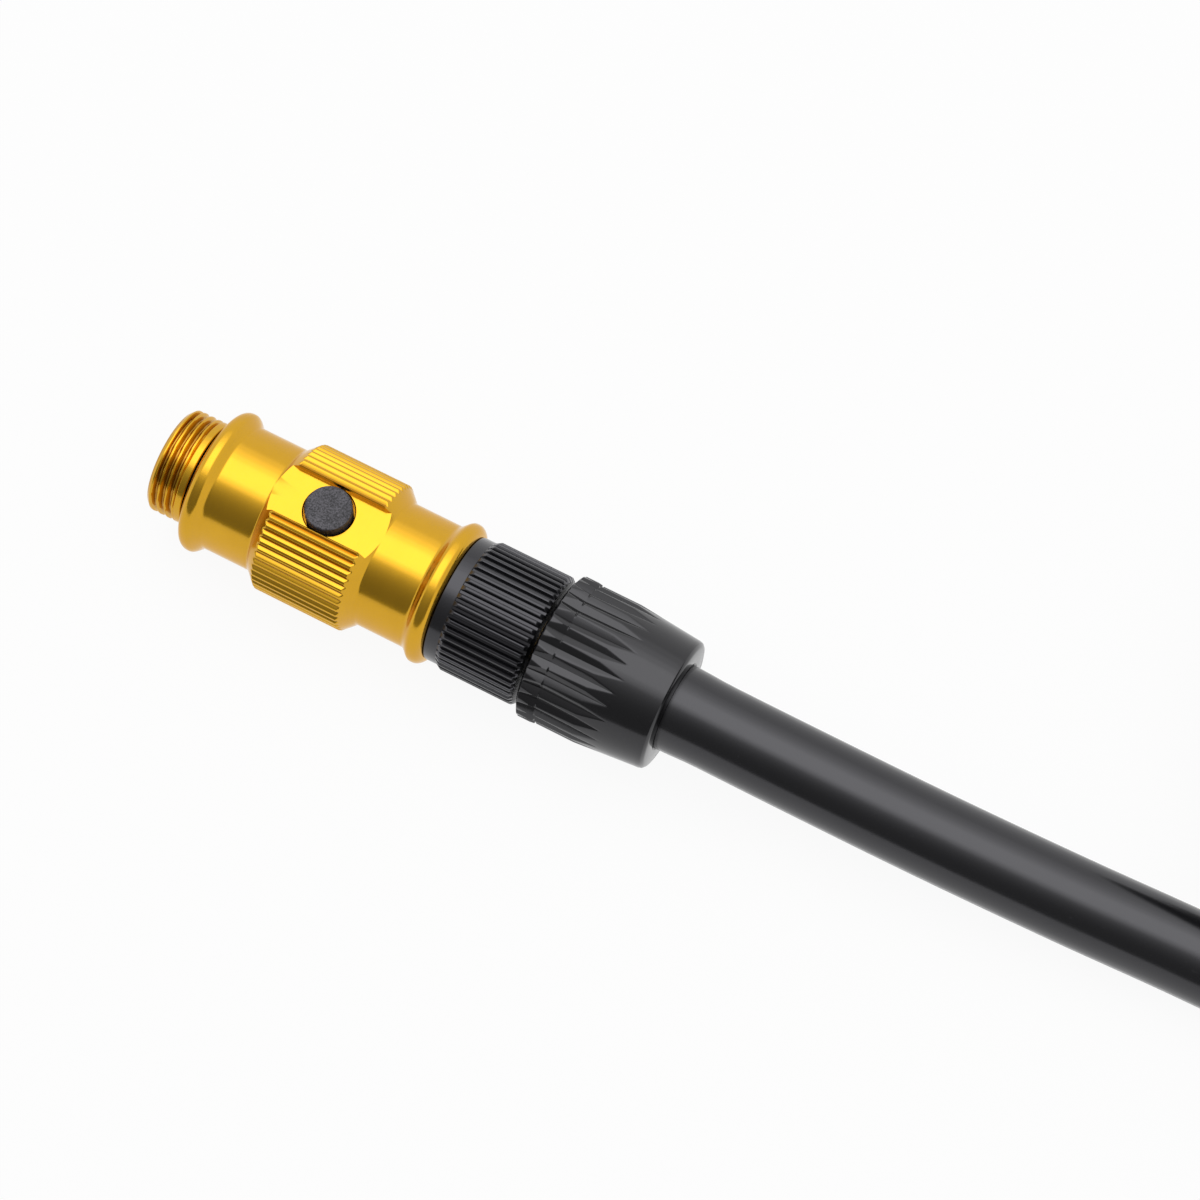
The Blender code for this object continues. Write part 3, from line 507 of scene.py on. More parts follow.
def thread_radius(reach, theta, way):
    """Radius of the plain land and the helical thread at a distance past the thread's first root."""
    phase = reach * way / THREAD_PITCH - theta / math.tau
    depth = THREAD_R - THREAD_ROOT
    helix = THREAD_ROOT + depth * thread_form(phase)
    land = THREAD_ROOT + depth * (1.0 - smooth(-0.5 * THREAD_PITCH, -0.05, reach))
    edge = LAND_EDGE * (1.0 - smooth(LAND_START, LAND_START + 0.1, reach + THREAD_START))
    nose_start = CHUCK_REACH - NOSE_LENGTH - THREAD_START
    nose = THREAD_R - np.maximum(reach - nose_start, 0.0) * (THREAD_R - NOSE_R) / NOSE_LENGTH
    radius = np.maximum(helix, land) - edge
    last = smooth(nose_start - 0.3, nose_start - 0.1, reach)
    radius = radius * (1.0 - last) + np.maximum(radius, THREAD_LAST_R) * last
    return np.minimum(radius, nose)


def knurl_drop(share):
    """Depth of the knurl, by the share of the way from a ridge's middle to a groove: straight flanks."""
    flank = np.maximum(share - KNURL_CREST, 0.0)
    near = np.clip(share - KNURL_CREST + KNURL_ROUND, 0.0, 2.0 * KNURL_ROUND)
    eased = np.where(near < 2.0 * KNURL_ROUND, near ** 2 / (4.0 * KNURL_ROUND), flank)
    return KNURL_DEPTH * np.minimum(eased / (1.0 - KNURL_CREST), KNURL_FLOOR)


def chuck_shape(stations, radii, theta):
    """Knurl, thread of the wide socket and both outer threads, cut into the turned profile."""
    reach = np.abs(stations)
    half_pitch = math.pi * KNURL_R / KNURL_COUNT
    share = 1.0 - groove_distance(theta, KNURL_COUNT, KNURL_R) / half_pitch
    knurled = (radii > INSIDE_R) & (reach < CHAMFER_END)
    radii = np.where(knurled, np.minimum(radii, KNURL_R - knurl_drop(share)), radii)
    in_socket = (np.abs(radii - CAR_SOCKET_R) < SAME) & (stations < -CAR_THREAD_START)
    ends = smooth(CAR_THREAD_START, CAR_THREAD_START + 0.4, -stations)
    ends = ends * (1.0 - smooth(*CAR_THREAD_END, -stations))
    inner = CAR_SOCKET_R - CAR_THREAD * ends * thread_form(stations / CAR_PITCH - theta / math.tau)
    radii = np.where(in_socket, inner, radii)
    threaded = (radii > THREAD_R - SAME) & (reach > LAND_START - SAME)
    return np.where(threaded, thread_radius(reach - THREAD_START, theta, np.sign(stations)), radii)


def build_chuck():
    half = chuck_outer_half()
    profile = [(-station, radius) for station, radius in reversed(half)] + half[1:]
    profile += [(CHUCK_REACH, SLIM_SOCKET_R + SOCKET_MOUTH), (CHUCK_REACH - SOCKET_MOUTH, SLIM_SOCKET_R),
                (SLIM_FLOOR, SLIM_SOCKET_R), (SLIM_FLOOR, PORT_R), (CHAMBER_END, PORT_R),
                (CHAMBER_END, CHAMBER_R), (-CAR_FLOOR, CHAMBER_R), (-CAR_FLOOR, CAR_SOCKET_R)]
    wall = [(-CAR_THREAD_START, CAR_SOCKET_R), (SOCKET_MOUTH - CHUCK_REACH, CAR_SOCKET_R)]
    profile += refine(wall, 0.065, -CHUCK_REACH, 0.0)
    profile.append((-CHUCK_REACH, CAR_SOCKET_R + CAR_MOUTH))
    angles = groove_angles(KNURL_COUNT, KNURL_OFFSETS)
    body = turned("chuck_body_visual", profile, angles, gold, chuck_shape)
    cut_with(body, slot_cutter())
    cut_with(body, upright_cutter([(BORE_FLOOR, BUTTON_BORE), (SLOT_FLOOR - 0.1, BUTTON_BORE),
                                   (SLOT_FLOOR + 0.05, BUTTON_BORE + BORE_LEAD),
                                   (ABOVE_CHUCK, BUTTON_BORE + BORE_LEAD)], 96))
    cut_with(body, upright_cutter([(height, PORT_R) for height in PORT_HEIGHTS], 48))
    body.data.shade_smooth()
    body.data.set_sharp_from_angle(angle=math.radians(38.0))
    return body


def slot_cutter():
    """Cutter of the milled slot that the button sits in, with flared sides."""
    outline = [(-SLOT_HALF, SLOT_FLOOR), (SLOT_HALF, SLOT_FLOOR), (SLOT_HALF, SLOT_EDGE),
               (SLOT_HALF + SLOT_FLARE, SLOT_TOP), (-SLOT_HALF - SLOT_FLARE, SLOT_TOP),
               (-SLOT_HALF, SLOT_EDGE)]
    shape = bmesh.new()
    near = [shape.verts.new((CHUCK_X - SLOT_REACH, y, AXIS_Z + z)) for y, z in outline]
    far = [shape.verts.new((CHUCK_X + SLOT_REACH, y, AXIS_Z + z)) for y, z in outline]
    shape.faces.new(near)
    shape.faces.new(list(reversed(far)))
    for index in range(len(outline)):
        beside = (index + 1) % len(outline)
        shape.faces.new((near[index], far[index], far[beside], near[beside]))
    return cutter_object(shape)


def cutter_object(shape):
    bmesh.ops.scale(shape, vec=(MM, MM, MM), verts=shape.verts)
    face_outwards(shape)
    mesh = bpy.data.meshes.new("cutter")
    shape.to_mesh(mesh)
    shape.free()
    return new_object("cutter", mesh)


def upright_ring(radius, height, columns):
    """Points of a level ring about the button's axis, at a height from the chuck's axis."""
    return [(CHUCK_X + radius * math.cos(angle), radius * math.sin(angle), AXIS_Z + height)
            for angle in even_angles(columns)]


def upright_cutter(levels, columns):
    """Solid turned about the button's axis from (height, radius) levels."""
    shape = bmesh.new()
    rings = [[shape.verts.new(point) for point in upright_ring(radius, height, columns)]
             for height, radius in levels]
    for low, high in zip(rings, rings[1:]):
        for column in range(columns):
            beside = (column + 1) % columns
            shape.faces.new((low[column], low[beside], high[beside], high[column]))
    shape.faces.new(rings[0])
    shape.faces.new(rings[-1])
    return cutter_object(shape)


def upright(name, profile, columns, material, sharp=CREASE):
    """Piece turned about the button's axis from a closed profile of (radius, height)."""
    points = [point for radius, height in profile for point in upright_ring(radius, height, columns)]
    return mesh_object(name, points, ring_faces(len(profile), columns, True), material, sharp)


BUTTON_R = 2.15
BUTTON_FLAT_R = 2.02
BUTTON_RIM = 0.13
BUTTON_RIM_STEPS = 5
BUTTON_TOP = 6.93
BUTTON_DISH = 0.005
BUTTON_FOOT = 4.58
HOLLOW_R = 1.65
HOLLOW_TOP = 5.68
STEM_HOLE_R = 0.6
STEM_HOLE_TOP = 6.22
ON_AXIS = 0.001  # radius of the ring of points that stands for one on the axis


def build_button():
    """Bleed button with a hardly dished top and a rounded rim; its blind hole takes the stem."""
    middle = BUTTON_TOP - BUTTON_DISH
    profile = [(ON_AXIS, middle), (0.7, middle), (1.4, BUTTON_TOP), (1.9, BUTTON_TOP),
               (BUTTON_FLAT_R, BUTTON_TOP)]
    for step in range(1, BUTTON_RIM_STEPS + 1):
        angle = math.pi / 2 * step / BUTTON_RIM_STEPS
        profile.append((BUTTON_FLAT_R + BUTTON_RIM * math.sin(angle),
                        BUTTON_TOP - BUTTON_RIM * (1 - math.cos(angle))))
    profile += [(BUTTON_R, 6.3), (BUTTON_R, BUTTON_FOOT), (HOLLOW_R, BUTTON_FOOT), (HOLLOW_R, HOLLOW_TOP),
                (STEM_HOLE_R, HOLLOW_TOP), (STEM_HOLE_R, STEM_HOLE_TOP), (ON_AXIS, STEM_HOLE_TOP)]
    return upright("bleed_button_visual", profile, 96, button_plastic, 50.0)


SPRING_R = 1.2
SPRING_WIRE = 0.14
SPRING_TURNS = 2
SPRING_STEPS = 32  # to a turn
SPRING_COLUMNS = 12


def build_spring(low, high):
    """Wire spring under the button, between two heights in mm."""
    steps = SPRING_STEPS * SPRING_TURNS
    points = []
    for step in range(steps + 1):
        angle = math.tau * SPRING_TURNS * step / steps
        outward = Vector((math.cos(angle), math.sin(angle), 0.0))
        height = low + SPRING_WIRE + (high - low - 2 * SPRING_WIRE) * step / steps
        middle = Vector((CHUCK_X, 0.0, height)) + outward * SPRING_R
        for column in range(SPRING_COLUMNS):
            swing = math.tau * column / SPRING_COLUMNS
            lift = Vector((0.0, 0.0, math.sin(swing)))
            points.append(middle + (outward * math.cos(swing) + lift) * SPRING_WIRE)
    return mesh_object("bleed_spring_visual", points, tube_faces(steps + 1, SPRING_COLUMNS), steel)


O_RING_STATION = 12.78
O_RING_R = 4.6
O_RING_WIRE = 0.2
O_RING_STEPS = 20


def build_o_ring(name, station):
    profile = []
    for step in range(O_RING_STEPS):
        angle = -math.tau * step / O_RING_STEPS
        profile.append((station + O_RING_WIRE * math.sin(angle), O_RING_R + O_RING_WIRE * math.cos(angle)))
    return turned(name, profile, even_angles(128), seal_rubber)


# Hose end: a plain collar and a grooved ring. Corners of a profile are station, radius and rounding.

RING_R = 6.335
RING_COUNT = 48
RING_DEPTH = 0.32
RING_INSIDE = 5.7
RING_WALL = (0.13, 0.27)  # foot and top of a groove's wall, from the groove's middle
RING_GROOVES_START = 13.87
RING_OFFSETS = (0.0, 0.3, 0.38, 0.46, 0.54, 0.62, 0.72, 0.86, 1.0)
RIB_MIDDLE = 0.415  # from the groove's middle
RIB_EASE = 0.15  # width over which a rib's crown falls
RIB_CROWN = 0.03
COLLAR_R = 6.045
COLLAR = ((12.57, 5.35, 0.0), (12.57, COLLAR_R, 0.06), (13.82, COLLAR_R, 0.05))
RING = ((14.29, RING_R, 0.22), (21.27, RING_R, 0.2), (21.63, 6.0, 0.06))
HOSE_END_BORE = ((21.63, 3.4, 0.0), (18.73, 3.4, 0.0), (18.73, 5.2, 0.0), (12.73, 5.2, 0.0))


def ring_shape(stations, radii, theta):
    distance = groove_distance(theta, RING_COUNT, RING_R)
    crown = RIB_CROWN * np.clip((distance - RIB_MIDDLE) / RIB_EASE, -1.0, 0.0) ** 2
    grooves = RING_R - RING_DEPTH * (1.0 - smooth(*RING_WALL, distance)) - crown
    grooved = (radii > RING_INSIDE) & (stations > RING_GROOVES_START)
    return np.where(grooved, np.minimum(radii, grooves), radii)


def build_hose_end():
    profile = rounded(COLLAR + RING + HOSE_END_BORE, 5)
    profile = refine(profile, 0.06, 13.77, 14.5)
    profile = refine(profile, 0.06, 21.0, 21.6)
    angles = groove_angles(RING_COUNT, RING_OFFSETS)
    return turned("hose_end_visual", profile, angles, black_metal, ring_shape, 40.0)


# Boot: a band with notches, then a fluted sleeve that tapers to the hose

BOOT_R = 6.81
BOOT_COUNT = 30
BOOT_ROOT = 6.47
BOOT_INSIDE = 5.9
BOOT_OFFSETS = (0.0, 0.1, 0.2, 0.3, 0.42, 0.55, 0.68, 0.8, 0.9, 1.0)
BAND_R = 6.92
BAND_END = 24.02
BAND_STEP = 0.06
FLUTE_RISE = 0.018  # of a flute's floor along the boot
FLUTE_SLOPE = 0.5  # of a flute's sides
FLUTE_END = 31.5
NOTCH_RISE = 0.13  # of a notch's floor, towards the front
NOTCH_SLOPE = 0.55
BOOT_FRONT = ((21.70, 3.36, 0.0), (21.70, 3.60, 0.0), (22.13, 3.60, 0.0), (22.13, 6.38, 0.0))
BAND = ((22.42, BAND_R, 0.04), (BAND_END, BAND_R, 0.03), (BAND_END + BAND_STEP, 6.70, 0.0))
SLEEVE = ((BAND_END + 0.12, 6.70, 0.0), (BAND_END + 0.2, BOOT_R, 0.02), (28.0, BOOT_R, 1.2),
          (34.15, 6.26, 0.0), (34.42, 6.18, 0.0), (34.6, 5.98, 0.0), (BOOT_END, 5.7, 0.0))
BOOT_BORE = ((BOOT_END, 4.3, 0.0), (34.5, 4.15, 0.0), (30.93, 4.15, 0.0), (30.93, 4.85, 0.0),
             (22.2, 4.85, 0.0), (22.2, 3.36, 0.0))


def boot_shape(stations, radii, theta):
    """Flutes that run out along the boot, behind a band whose notches deepen towards the flutes."""
    distance = groove_distance(theta, BOOT_COUNT, BOOT_R)
    flute = BOOT_ROOT + FLUTE_RISE * (stations - BAND_END) + FLUTE_SLOPE * distance
    notch = BOOT_ROOT + NOTCH_RISE * (BAND_END - stations) + NOTCH_SLOPE * distance
    band = 1.0 - smooth(BAND_END, BAND_END + BAND_STEP, stations)
    grooves = band * notch + (1.0 - band) * flute
    fluted = (radii > BOOT_INSIDE) & (stations < FLUTE_END)
    return np.where(fluted, np.minimum(radii, grooves), radii)


def build_boot():
    profile = rounded(BOOT_FRONT + BAND + SLEEVE + BOOT_BORE, 6)
    profile = refine(profile, 0.08, 22.1, 24.45)
    profile = refine(profile, 0.25, 24.45, 32.1)
    angles = groove_angles(BOOT_COUNT, BOOT_OFFSETS)
    return turned("strain_relief_boot_visual", profile, angles, boot_plastic, boot_shape, 30.0)


# Hose: the same route and coil as the solids, in mm

BOOT_X = CHUCK_X + BOOT_END
JOINT_GAP = 0.3
# Places along the route: ahead of the boot, aside, and the share of the boot's height that is left
HOSE_ROUTE = ((0.0, 0.0, 1.0), (9.0, 0.0, 0.96), (22.0, 0.25, 0.72), (36.0, 0.9, 0.36), (48.0, 1.6, 0.08),
              (55.0, 2.0, 0.0))
TIE_GAP = 0.45
TIE_THICK = 0.8
COIL_PITCH = 2 * HOSE_R + 0.5
COIL_OUTER = 44.2
COIL_LOW = HOSE_R + TIE_GAP + TIE_THICK
COIL_CENTRE = Vector((BOOT_X + 87.6, 40.6, COIL_LOW))
COIL_START = math.radians(-105.0)
COIL_STEPS = 55
COIL_STEPS_A_TURN = 24
COIL_TURNS = COIL_STEPS / COIL_STEPS_A_TURN
CLIMB_START = 0.75  # turn at which the coil starts to climb on to itself
CLIMB = 0.5  # and the share of a turn that it takes
TAIL = 14.5
TAIL_SLOPE = math.radians(9.0)
TAIL_STATIONS = (3.5, 7.0, 10.5, TAIL + 0.6)
INSIDE_BOOT = 1.0
SWELL = 0.035  # share by which the hose is wider at the boot
SWELL_LENGTH = 4.0


def coil_place(turn):
    angle = COIL_START + math.tau * turn
    climb = min(1.0, max(0.0, (turn - CLIMB_START) / CLIMB))
    lift = COIL_PITCH * climb * climb * (3.0 - 2.0 * climb)
    radius = COIL_OUTER - COIL_PITCH * (turn if turn <= 1.0 else 2.0 - turn)
    return COIL_CENTRE + Vector((radius * math.cos(angle), radius * math.sin(angle), lift))


def coil_heading(turn):
    angle = COIL_START + math.tau * turn
    return Vector((-math.sin(angle), math.cos(angle), 0.0))


def coil_tail():
    """Place where the hose leaves the coil, and its direction there."""
    level = coil_heading(COIL_TURNS)
    return coil_place(COIL_TURNS), level * math.cos(TAIL_SLOPE) - Vector((0.0, 0.0, math.sin(TAIL_SLOPE)))


def catmull(points, parts):
    """Smooth curve through points, with each step split into parts."""
    padded = [2 * points[0] - points[1]] + points + [2 * points[-1] - points[-2]]
    result = []
    for index in range(1, len(padded) - 2):
        before, start, end, after = padded[index - 1:index + 3]
        for step in range(parts):
            t = step / parts
            result.append(0.5 * (2 * start + (end - before) * t
                                 + (2 * before - 5 * start + 4 * end - after) * t ** 2
                                 + (3 * start - before - 3 * end + after) * t ** 3))
    result.append(points[-1])
    return result


def evenly(points, parts):
    """Points at even distances along a polyline."""
    places = np.array(points)
    along = np.concatenate([[0.0], np.cumsum(np.linalg.norm(np.diff(places, axis=0), axis=1))])
    marks = np.linspace(0.0, along[-1], parts + 1)
    columns = [np.interp(marks, along, places[:, axis]) for axis in range(3)]
    return [Vector(place) for place in zip(*columns)]


def hose_points():
    """Middle line of the hose, from inside the boot to the pump end."""
    fall = AXIS_Z - HOSE_R
    start = BOOT_X + JOINT_GAP
    route = [Vector((start + ahead, aside, HOSE_R + fall * share)) for ahead, aside, share in HOSE_ROUTE]
    meeting = coil_place(0.0) - coil_heading(0.0) * (2 * HOSE_R + JOINT_GAP)
    route += [meeting - coil_heading(0.0) * 2 * HOSE_R, meeting, coil_place(0.0)]
    points = [Vector((BOOT_X - INSIDE_BOOT, 0.0, AXIS_Z))] + catmull(evenly(catmull(route, 12), 6), 10)
    steps = COIL_STEPS * 3
    points += [coil_place(COIL_TURNS * step / steps) for step in range(1, steps + 1)]
    last, direction = coil_tail()
    return points + [last + direction * station for station in TAIL_STATIONS]


def build_hose():
    """Whole hose as one round curve, a little wider where it comes out of the boot."""
    points = hose_points()
    curve = bpy.data.curves.new("hose_visual", 'CURVE')
    curve.dimensions = '3D'
    curve.bevel_depth = HOSE_R * MM
    curve.bevel_resolution = 10
    curve.use_fill_caps = True
    spline = curve.splines.new('POLY')
    spline.points.add(len(points) - 1)
    for target, point in zip(spline.points, points):
        target.co = (*(point * MM), 1.0)
        swell = 1.0 - smooth(0.0, SWELL_LENGTH, point.x - BOOT_X)
        target.radius = 1.0 + SWELL * float(swell)
    spline.use_smooth = True
    curve.materials.append(hose_rubber)
    length = sum((b - a).length for a, b in zip(points, points[1:])) * MM
    return new_object("hose_visual", curve), length


# Ties round the coil, each at a step of it

TIE_STEPS = (9, 15)
TIE_INNER = HOSE_R + TIE_GAP
TIE_OUTER = TIE_INNER + TIE_THICK
TIE_HALF = 4.0
TIE_ARC = 20
TIE_EDGE = 0.12
TIE_RIM = (0.6, 0.75)  # from the tie's edge: where the thicker rim ends and the middle starts
TIE_DISH = 0.1
LOOSE_START = (0.30, 0.36, 0.5, 0.8)
LOOSE_END = (0.8, 0.5, 0.22, 0.12)
LOOSE_HEIGHTS = (0.12, 0.5, 0.68)  # at the strap's ends, one step in, and along the rest
LOOSE_INSETS = (0.5, 0.2, 0.1)
LOOSE_SINK = 0.08
LOOSE_EDGE = 0.1


def tie_frame(step):
    """Middle of the lower turn at a step of the coil, the way to the turn above, and the plane's axes."""
    turn, beside = step / COIL_STEPS_A_TURN, (step + 1) / COIL_STEPS_A_TURN
    low = (coil_place(turn) + coil_place(beside)) / 2
    high = (coil_place(turn + 1.0) + coil_place(beside + 1.0)) / 2
    angle = COIL_START + math.pi * (turn + beside)
    across = Vector((math.cos(angle), math.sin(angle), 0.0))
    upward = Vector((0.0, 0.0, 1.0))
    return low, Vector(((high - low).dot(across), (high - low).z)), (across, upward, across.cross(upward))


def half_turn(centre, start, towards):
    """Centre and outward direction at each step of half a turn round one hose."""
    angles = [math.pi * step / TIE_ARC for step in range(TIE_ARC + 1)]
    return [(centre, start * math.cos(angle) + towards * math.sin(angle)) for angle in angles]


def swept(low, axes, stations, sections):
    """Points of each section of (width, radius), set out at its station round the two turns."""
    across, upward, along = axes
    points = []
    for (centre, outward), section in zip(stations, sections):
        for width, radius in section:
            place = centre + outward * radius
            points.append(low + across * place.x + upward * place.y + along * width)
    return points


def tie_section():
    """Section of the strap, with thicker edges, as (width, radius)."""
    rim, middle = TIE_RIM
    right = [(TIE_HALF - TIE_EDGE, TIE_INNER), (TIE_HALF, TIE_INNER + TIE_EDGE),
             (TIE_HALF, TIE_OUTER - TIE_EDGE), (TIE_HALF - TIE_EDGE, TIE_OUTER),
             (TIE_HALF - rim, TIE_OUTER), (TIE_HALF - middle, TIE_OUTER - TIE_DISH)]
    left = [(-width, radius) for width, radius in reversed(right)]
    return left[-2:] + right + left[:-2]


def loose_section(ends):
    """Section of the strap's loose part, by the steps to its nearer end."""
    half = TIE_HALF - LOOSE_INSETS[min(ends, 2)]
    foot = TIE_OUTER - LOOSE_SINK
    top = foot + LOOSE_HEIGHTS[min(ends, 2)]
    return [(-half, foot), (half, foot), (half, top - LOOSE_SINK), (half - LOOSE_EDGE, top),
            (LOOSE_EDGE - half, top), (-half, top - LOOSE_SINK)]


def build_tie(name, step):
    """Woven strap round both turns, and its loose end laid back over the upper turn."""
    low, offset, axes = tie_frame(step)
    stack = offset.normalized()
    side = Vector((stack.y, -stack.x))
    band = tie_section()
    loop = half_turn(offset, side, stack) + half_turn(Vector((0.0, 0.0)), -side, -stack)
    points = swept(low, axes, loop, [band] * len(loop))
    faces = ring_faces(len(loop), len(band), True)
    over = [(offset * share, side) for share in LOOSE_START] + half_turn(offset, side, stack)
    over += [(offset * share, -side) for share in LOOSE_END]
    sections = [loose_section(min(index, len(over) - 1 - index)) for index in range(len(over))]
    faces += tube_faces(len(over), len(sections[0]), len(points))
    points += swept(low, axes, over, sections)
    return mesh_object(name, points, faces, strap)


# Pump end: stations in mm from the end of the free hose, along the coil's tail

def pump_axis():
    """Origin, direction and zero angle of the pump end."""
    last, direction = coil_tail()
    upward = (Vector((0.0, 0.0, 1.0)) - direction * direction.z).normalized()
    return last + direction * TAIL, direction, upward


FERRULE_R = 4.75
FERRULE_BORE = 4.05
FERRULE_START = 0.3
FERRULE_FLOOR = 11.1
FERRULE_END = 11.8
FERRULE_CRIMPS = (2.7, 5.6, 8.5)
CRIMP_R = 4.42
CRIMP_SIDES = 8
CRIMP_HALF = 0.45
CRIMP_REACH = 0.8
BARB_HOLE = 3.15
NUT_FLAT = 6.5
NUT_SIDES = 6
NUT_CORNER = 7.40
NUT_LOW = 11.9
NUT_FLOOR = 13.8
NUT_HIGH = 21.4
NUT_FACE = 6.0
NUT_BORE = 4.86
NUT_BORE_START = 16.0
NUT_BORE_END = 21.05
NUT_THREAD = 0.26
NUT_THREAD_START = (16.1, 16.5)
NUT_THREAD_END = (20.6, 21.0)


def across_flats(theta, sides):
    """How much further than its flats a many-sided bar's surface lies, by the angle from a corner."""
    pitch = math.tau / sides
    return 1.0 / np.cos(np.mod(theta, pitch) - pitch / 2)


def ferrule_shape(stations, radii, theta):
    """Flats of the crimps, where the profile is pressed in."""
    pressed = np.minimum(radii * across_flats(theta, CRIMP_SIDES), FERRULE_R - 0.04)
    return np.where((radii > 4.3) & (radii < FERRULE_R - 0.05), np.maximum(radii, pressed), radii)


def build_pump_ferrule():
    """Sleeve pressed on to the hose by three eight-sided crimps, with rolled ends."""
    corners = [(FERRULE_START, FERRULE_BORE, 0.0), (FERRULE_START, FERRULE_R, 0.25)]
    for middle in FERRULE_CRIMPS:
        corners += [(middle - CRIMP_REACH, FERRULE_R, 0.15), (middle - CRIMP_HALF, CRIMP_R, 0.12),
                    (middle + CRIMP_HALF, CRIMP_R, 0.12), (middle + CRIMP_REACH, FERRULE_R, 0.15)]
    corners += [(10.6, FERRULE_R, 0.1), (FERRULE_END, 4.35, 0.25), (FERRULE_END, BARB_HOLE, 0.0),
                (FERRULE_FLOOR, BARB_HOLE, 0.0), (FERRULE_FLOOR, FERRULE_BORE, 0.0)]
    return turned("pump_ferrule_visual", rounded(corners, 5), even_angles(128), steel, ferrule_shape, 30.0,
                  pump_axis())


def nut_shape(stations, radii, theta):
    hexagon = np.minimum(NUT_FLAT * across_flats(theta, NUT_SIDES), NUT_CORNER)
    chamfer = NUT_FACE + np.minimum(NUT_HIGH - stations, stations - NUT_LOW)
    radii = np.where(radii > NUT_FACE, np.minimum(hexagon, chamfer), radii)
    in_bore = (np.abs(radii - NUT_BORE) < SAME) & (stations > NUT_THREAD_START[0])
    ends = smooth(*NUT_THREAD_START, stations) * (1.0 - smooth(*NUT_THREAD_END, stations))
    thread = NUT_BORE - NUT_THREAD * ends * thread_form(stations / THREAD_PITCH - theta / math.tau)
    return np.where(in_bore, thread, radii)


def build_pump_nut():
    """Chamfered hexagon nut with a threaded bore, and a floor that holds the barb's head."""
    blank = NUT_CORNER + 1.0
    outside = refine([(NUT_LOW, blank), (NUT_HIGH, blank)], 0.1, NUT_LOW, NUT_HIGH)
    bore = [(NUT_BORE_END, NUT_BORE), (NUT_BORE_START, NUT_BORE)]
    bore = refine(bore, 0.06, NUT_BORE_START, NUT_BORE_END)
    profile = [(NUT_LOW, BARB_HOLE), (NUT_LOW, 5.0)] + outside + [(NUT_HIGH, 5.6), (NUT_HIGH, 5.2)] + bore
    profile += [(NUT_FLOOR, NUT_BORE), (NUT_FLOOR, BARB_HOLE)]
    return turned("pump_nut_visual", profile, even_angles(240), black_metal, nut_shape, 25.0, pump_axis())


def dress(node_name, material):
    """Give a carried-over solid a material of its own kind."""
    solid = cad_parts[node_name]
    solid.data.materials.clear()
    solid.data.materials.append(material)
    return solid


chuck = build_chuck()
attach(chuck, "chuck")
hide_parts("chuck_body")

button = build_button()
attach(button, "bleed_button")
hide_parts("bleed_button")

spring_low, spring_high = (corner[2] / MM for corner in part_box("bleed_spring"))
spring = build_spring(spring_low, spring_high)
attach(spring, "chuck")
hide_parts("bleed_spring")
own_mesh(spring)

valve_ring = build_o_ring("valve_side_o_ring_visual", -O_RING_STATION)
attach(valve_ring, "chuck")
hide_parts("valve_side_o_ring")

hose_ring = build_o_ring("hose_side_o_ring_visual", O_RING_STATION)
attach(hose_ring, "chuck_travel")
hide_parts("hose_side_o_ring")

hose_end = build_hose_end()
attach(hose_end, "hose_end")
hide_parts("hose_end")

boot = build_boot()
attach(boot, "hose")
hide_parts("strain_relief_boot")

hose, hose_length = build_hose()
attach(hose, "hose")
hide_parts("hose_run", "hose_coil")

for name in ("hose_clamped_end", "pump_hose_end"):
    dress(name, hose_rubber)
for name in ("car_valve_gasket", "slim_valve_gasket", "bleed_seal", "hose_end_seal", "pump_washer"):
    dress(name, seal_rubber)
for name in ("car_valve_pin", "bleed_bush", "hose_barb", "pump_barb"):
    dress(name, brass)
for name in ("bleed_stem", "hose_ferrule"):
    dress(name, steel)

on_hose = [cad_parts[name] for name in ("pump_hose_end", "pump_barb", "pump_washer")]
for number, step in enumerate(TIE_STEPS, start=1):
    tie = build_tie("hose_tie_%d_visual" % number, step)
    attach(tie, "hose")
    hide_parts("hose_tie_%d" % number)
    on_hose.append(tie)

ferrule = build_pump_ferrule()
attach(ferrule, "hose")
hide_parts("pump_ferrule")
on_hose.append(ferrule)

nut = build_pump_nut()
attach(nut, "pump_nut")
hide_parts("pump_nut")
on_hose.append(nut)


# Camera, floor and light: sizes in metres, apart from the camera's place

CAMERA_AZIMUTH = math.radians(27.885)
CAMERA_ELEVATION = math.radians(68.5)
CAMERA_PLACE = Vector((79.535, -115.95, 357.24))
CAMERA_LENS = 126.0
WHITE = (1.0, 1.0, 1.0, 1.0)
PAPER = (0.88, 0.88, 0.88, 1.0)
FLOOR_HALF = 3.0
FLOOR_DROP = 0.00002
FLOOR_GLOW = 0.93  # share of the floor's look that is plain white; the rest takes the shadow
WORLD_LEVEL = 0.3  # for light on the object; the world is white to the camera and in gloss
CARD_HALF = 1.0
CARD_FOOT = (-0.80, 0.06)  # place along Y and height
CARD_TOP = (-0.20, 0.80)
CARD_LEVELS = (0.25, 1.30)  # at its foot and its top
CARD_POWER = 4.0  # how late the card gets paler on the way up
# Overhead softbox, brightest at its middle: each layer's reach behind and in front of the object in
# degrees from straight up, its width in metres and the light that it adds
SOFTBOX = ((60.0, 18.0, 1.30, 0.28), (48.0, 15.0, 1.10, 0.32), (38.0, 12.0, 0.95, 0.42),
           (28.0, 7.0, 0.80, 0.46))
SOFTBOX_X = -0.1
SOFTBOX_HEIGHT = 0.55
LAYER_GAP = 0.001


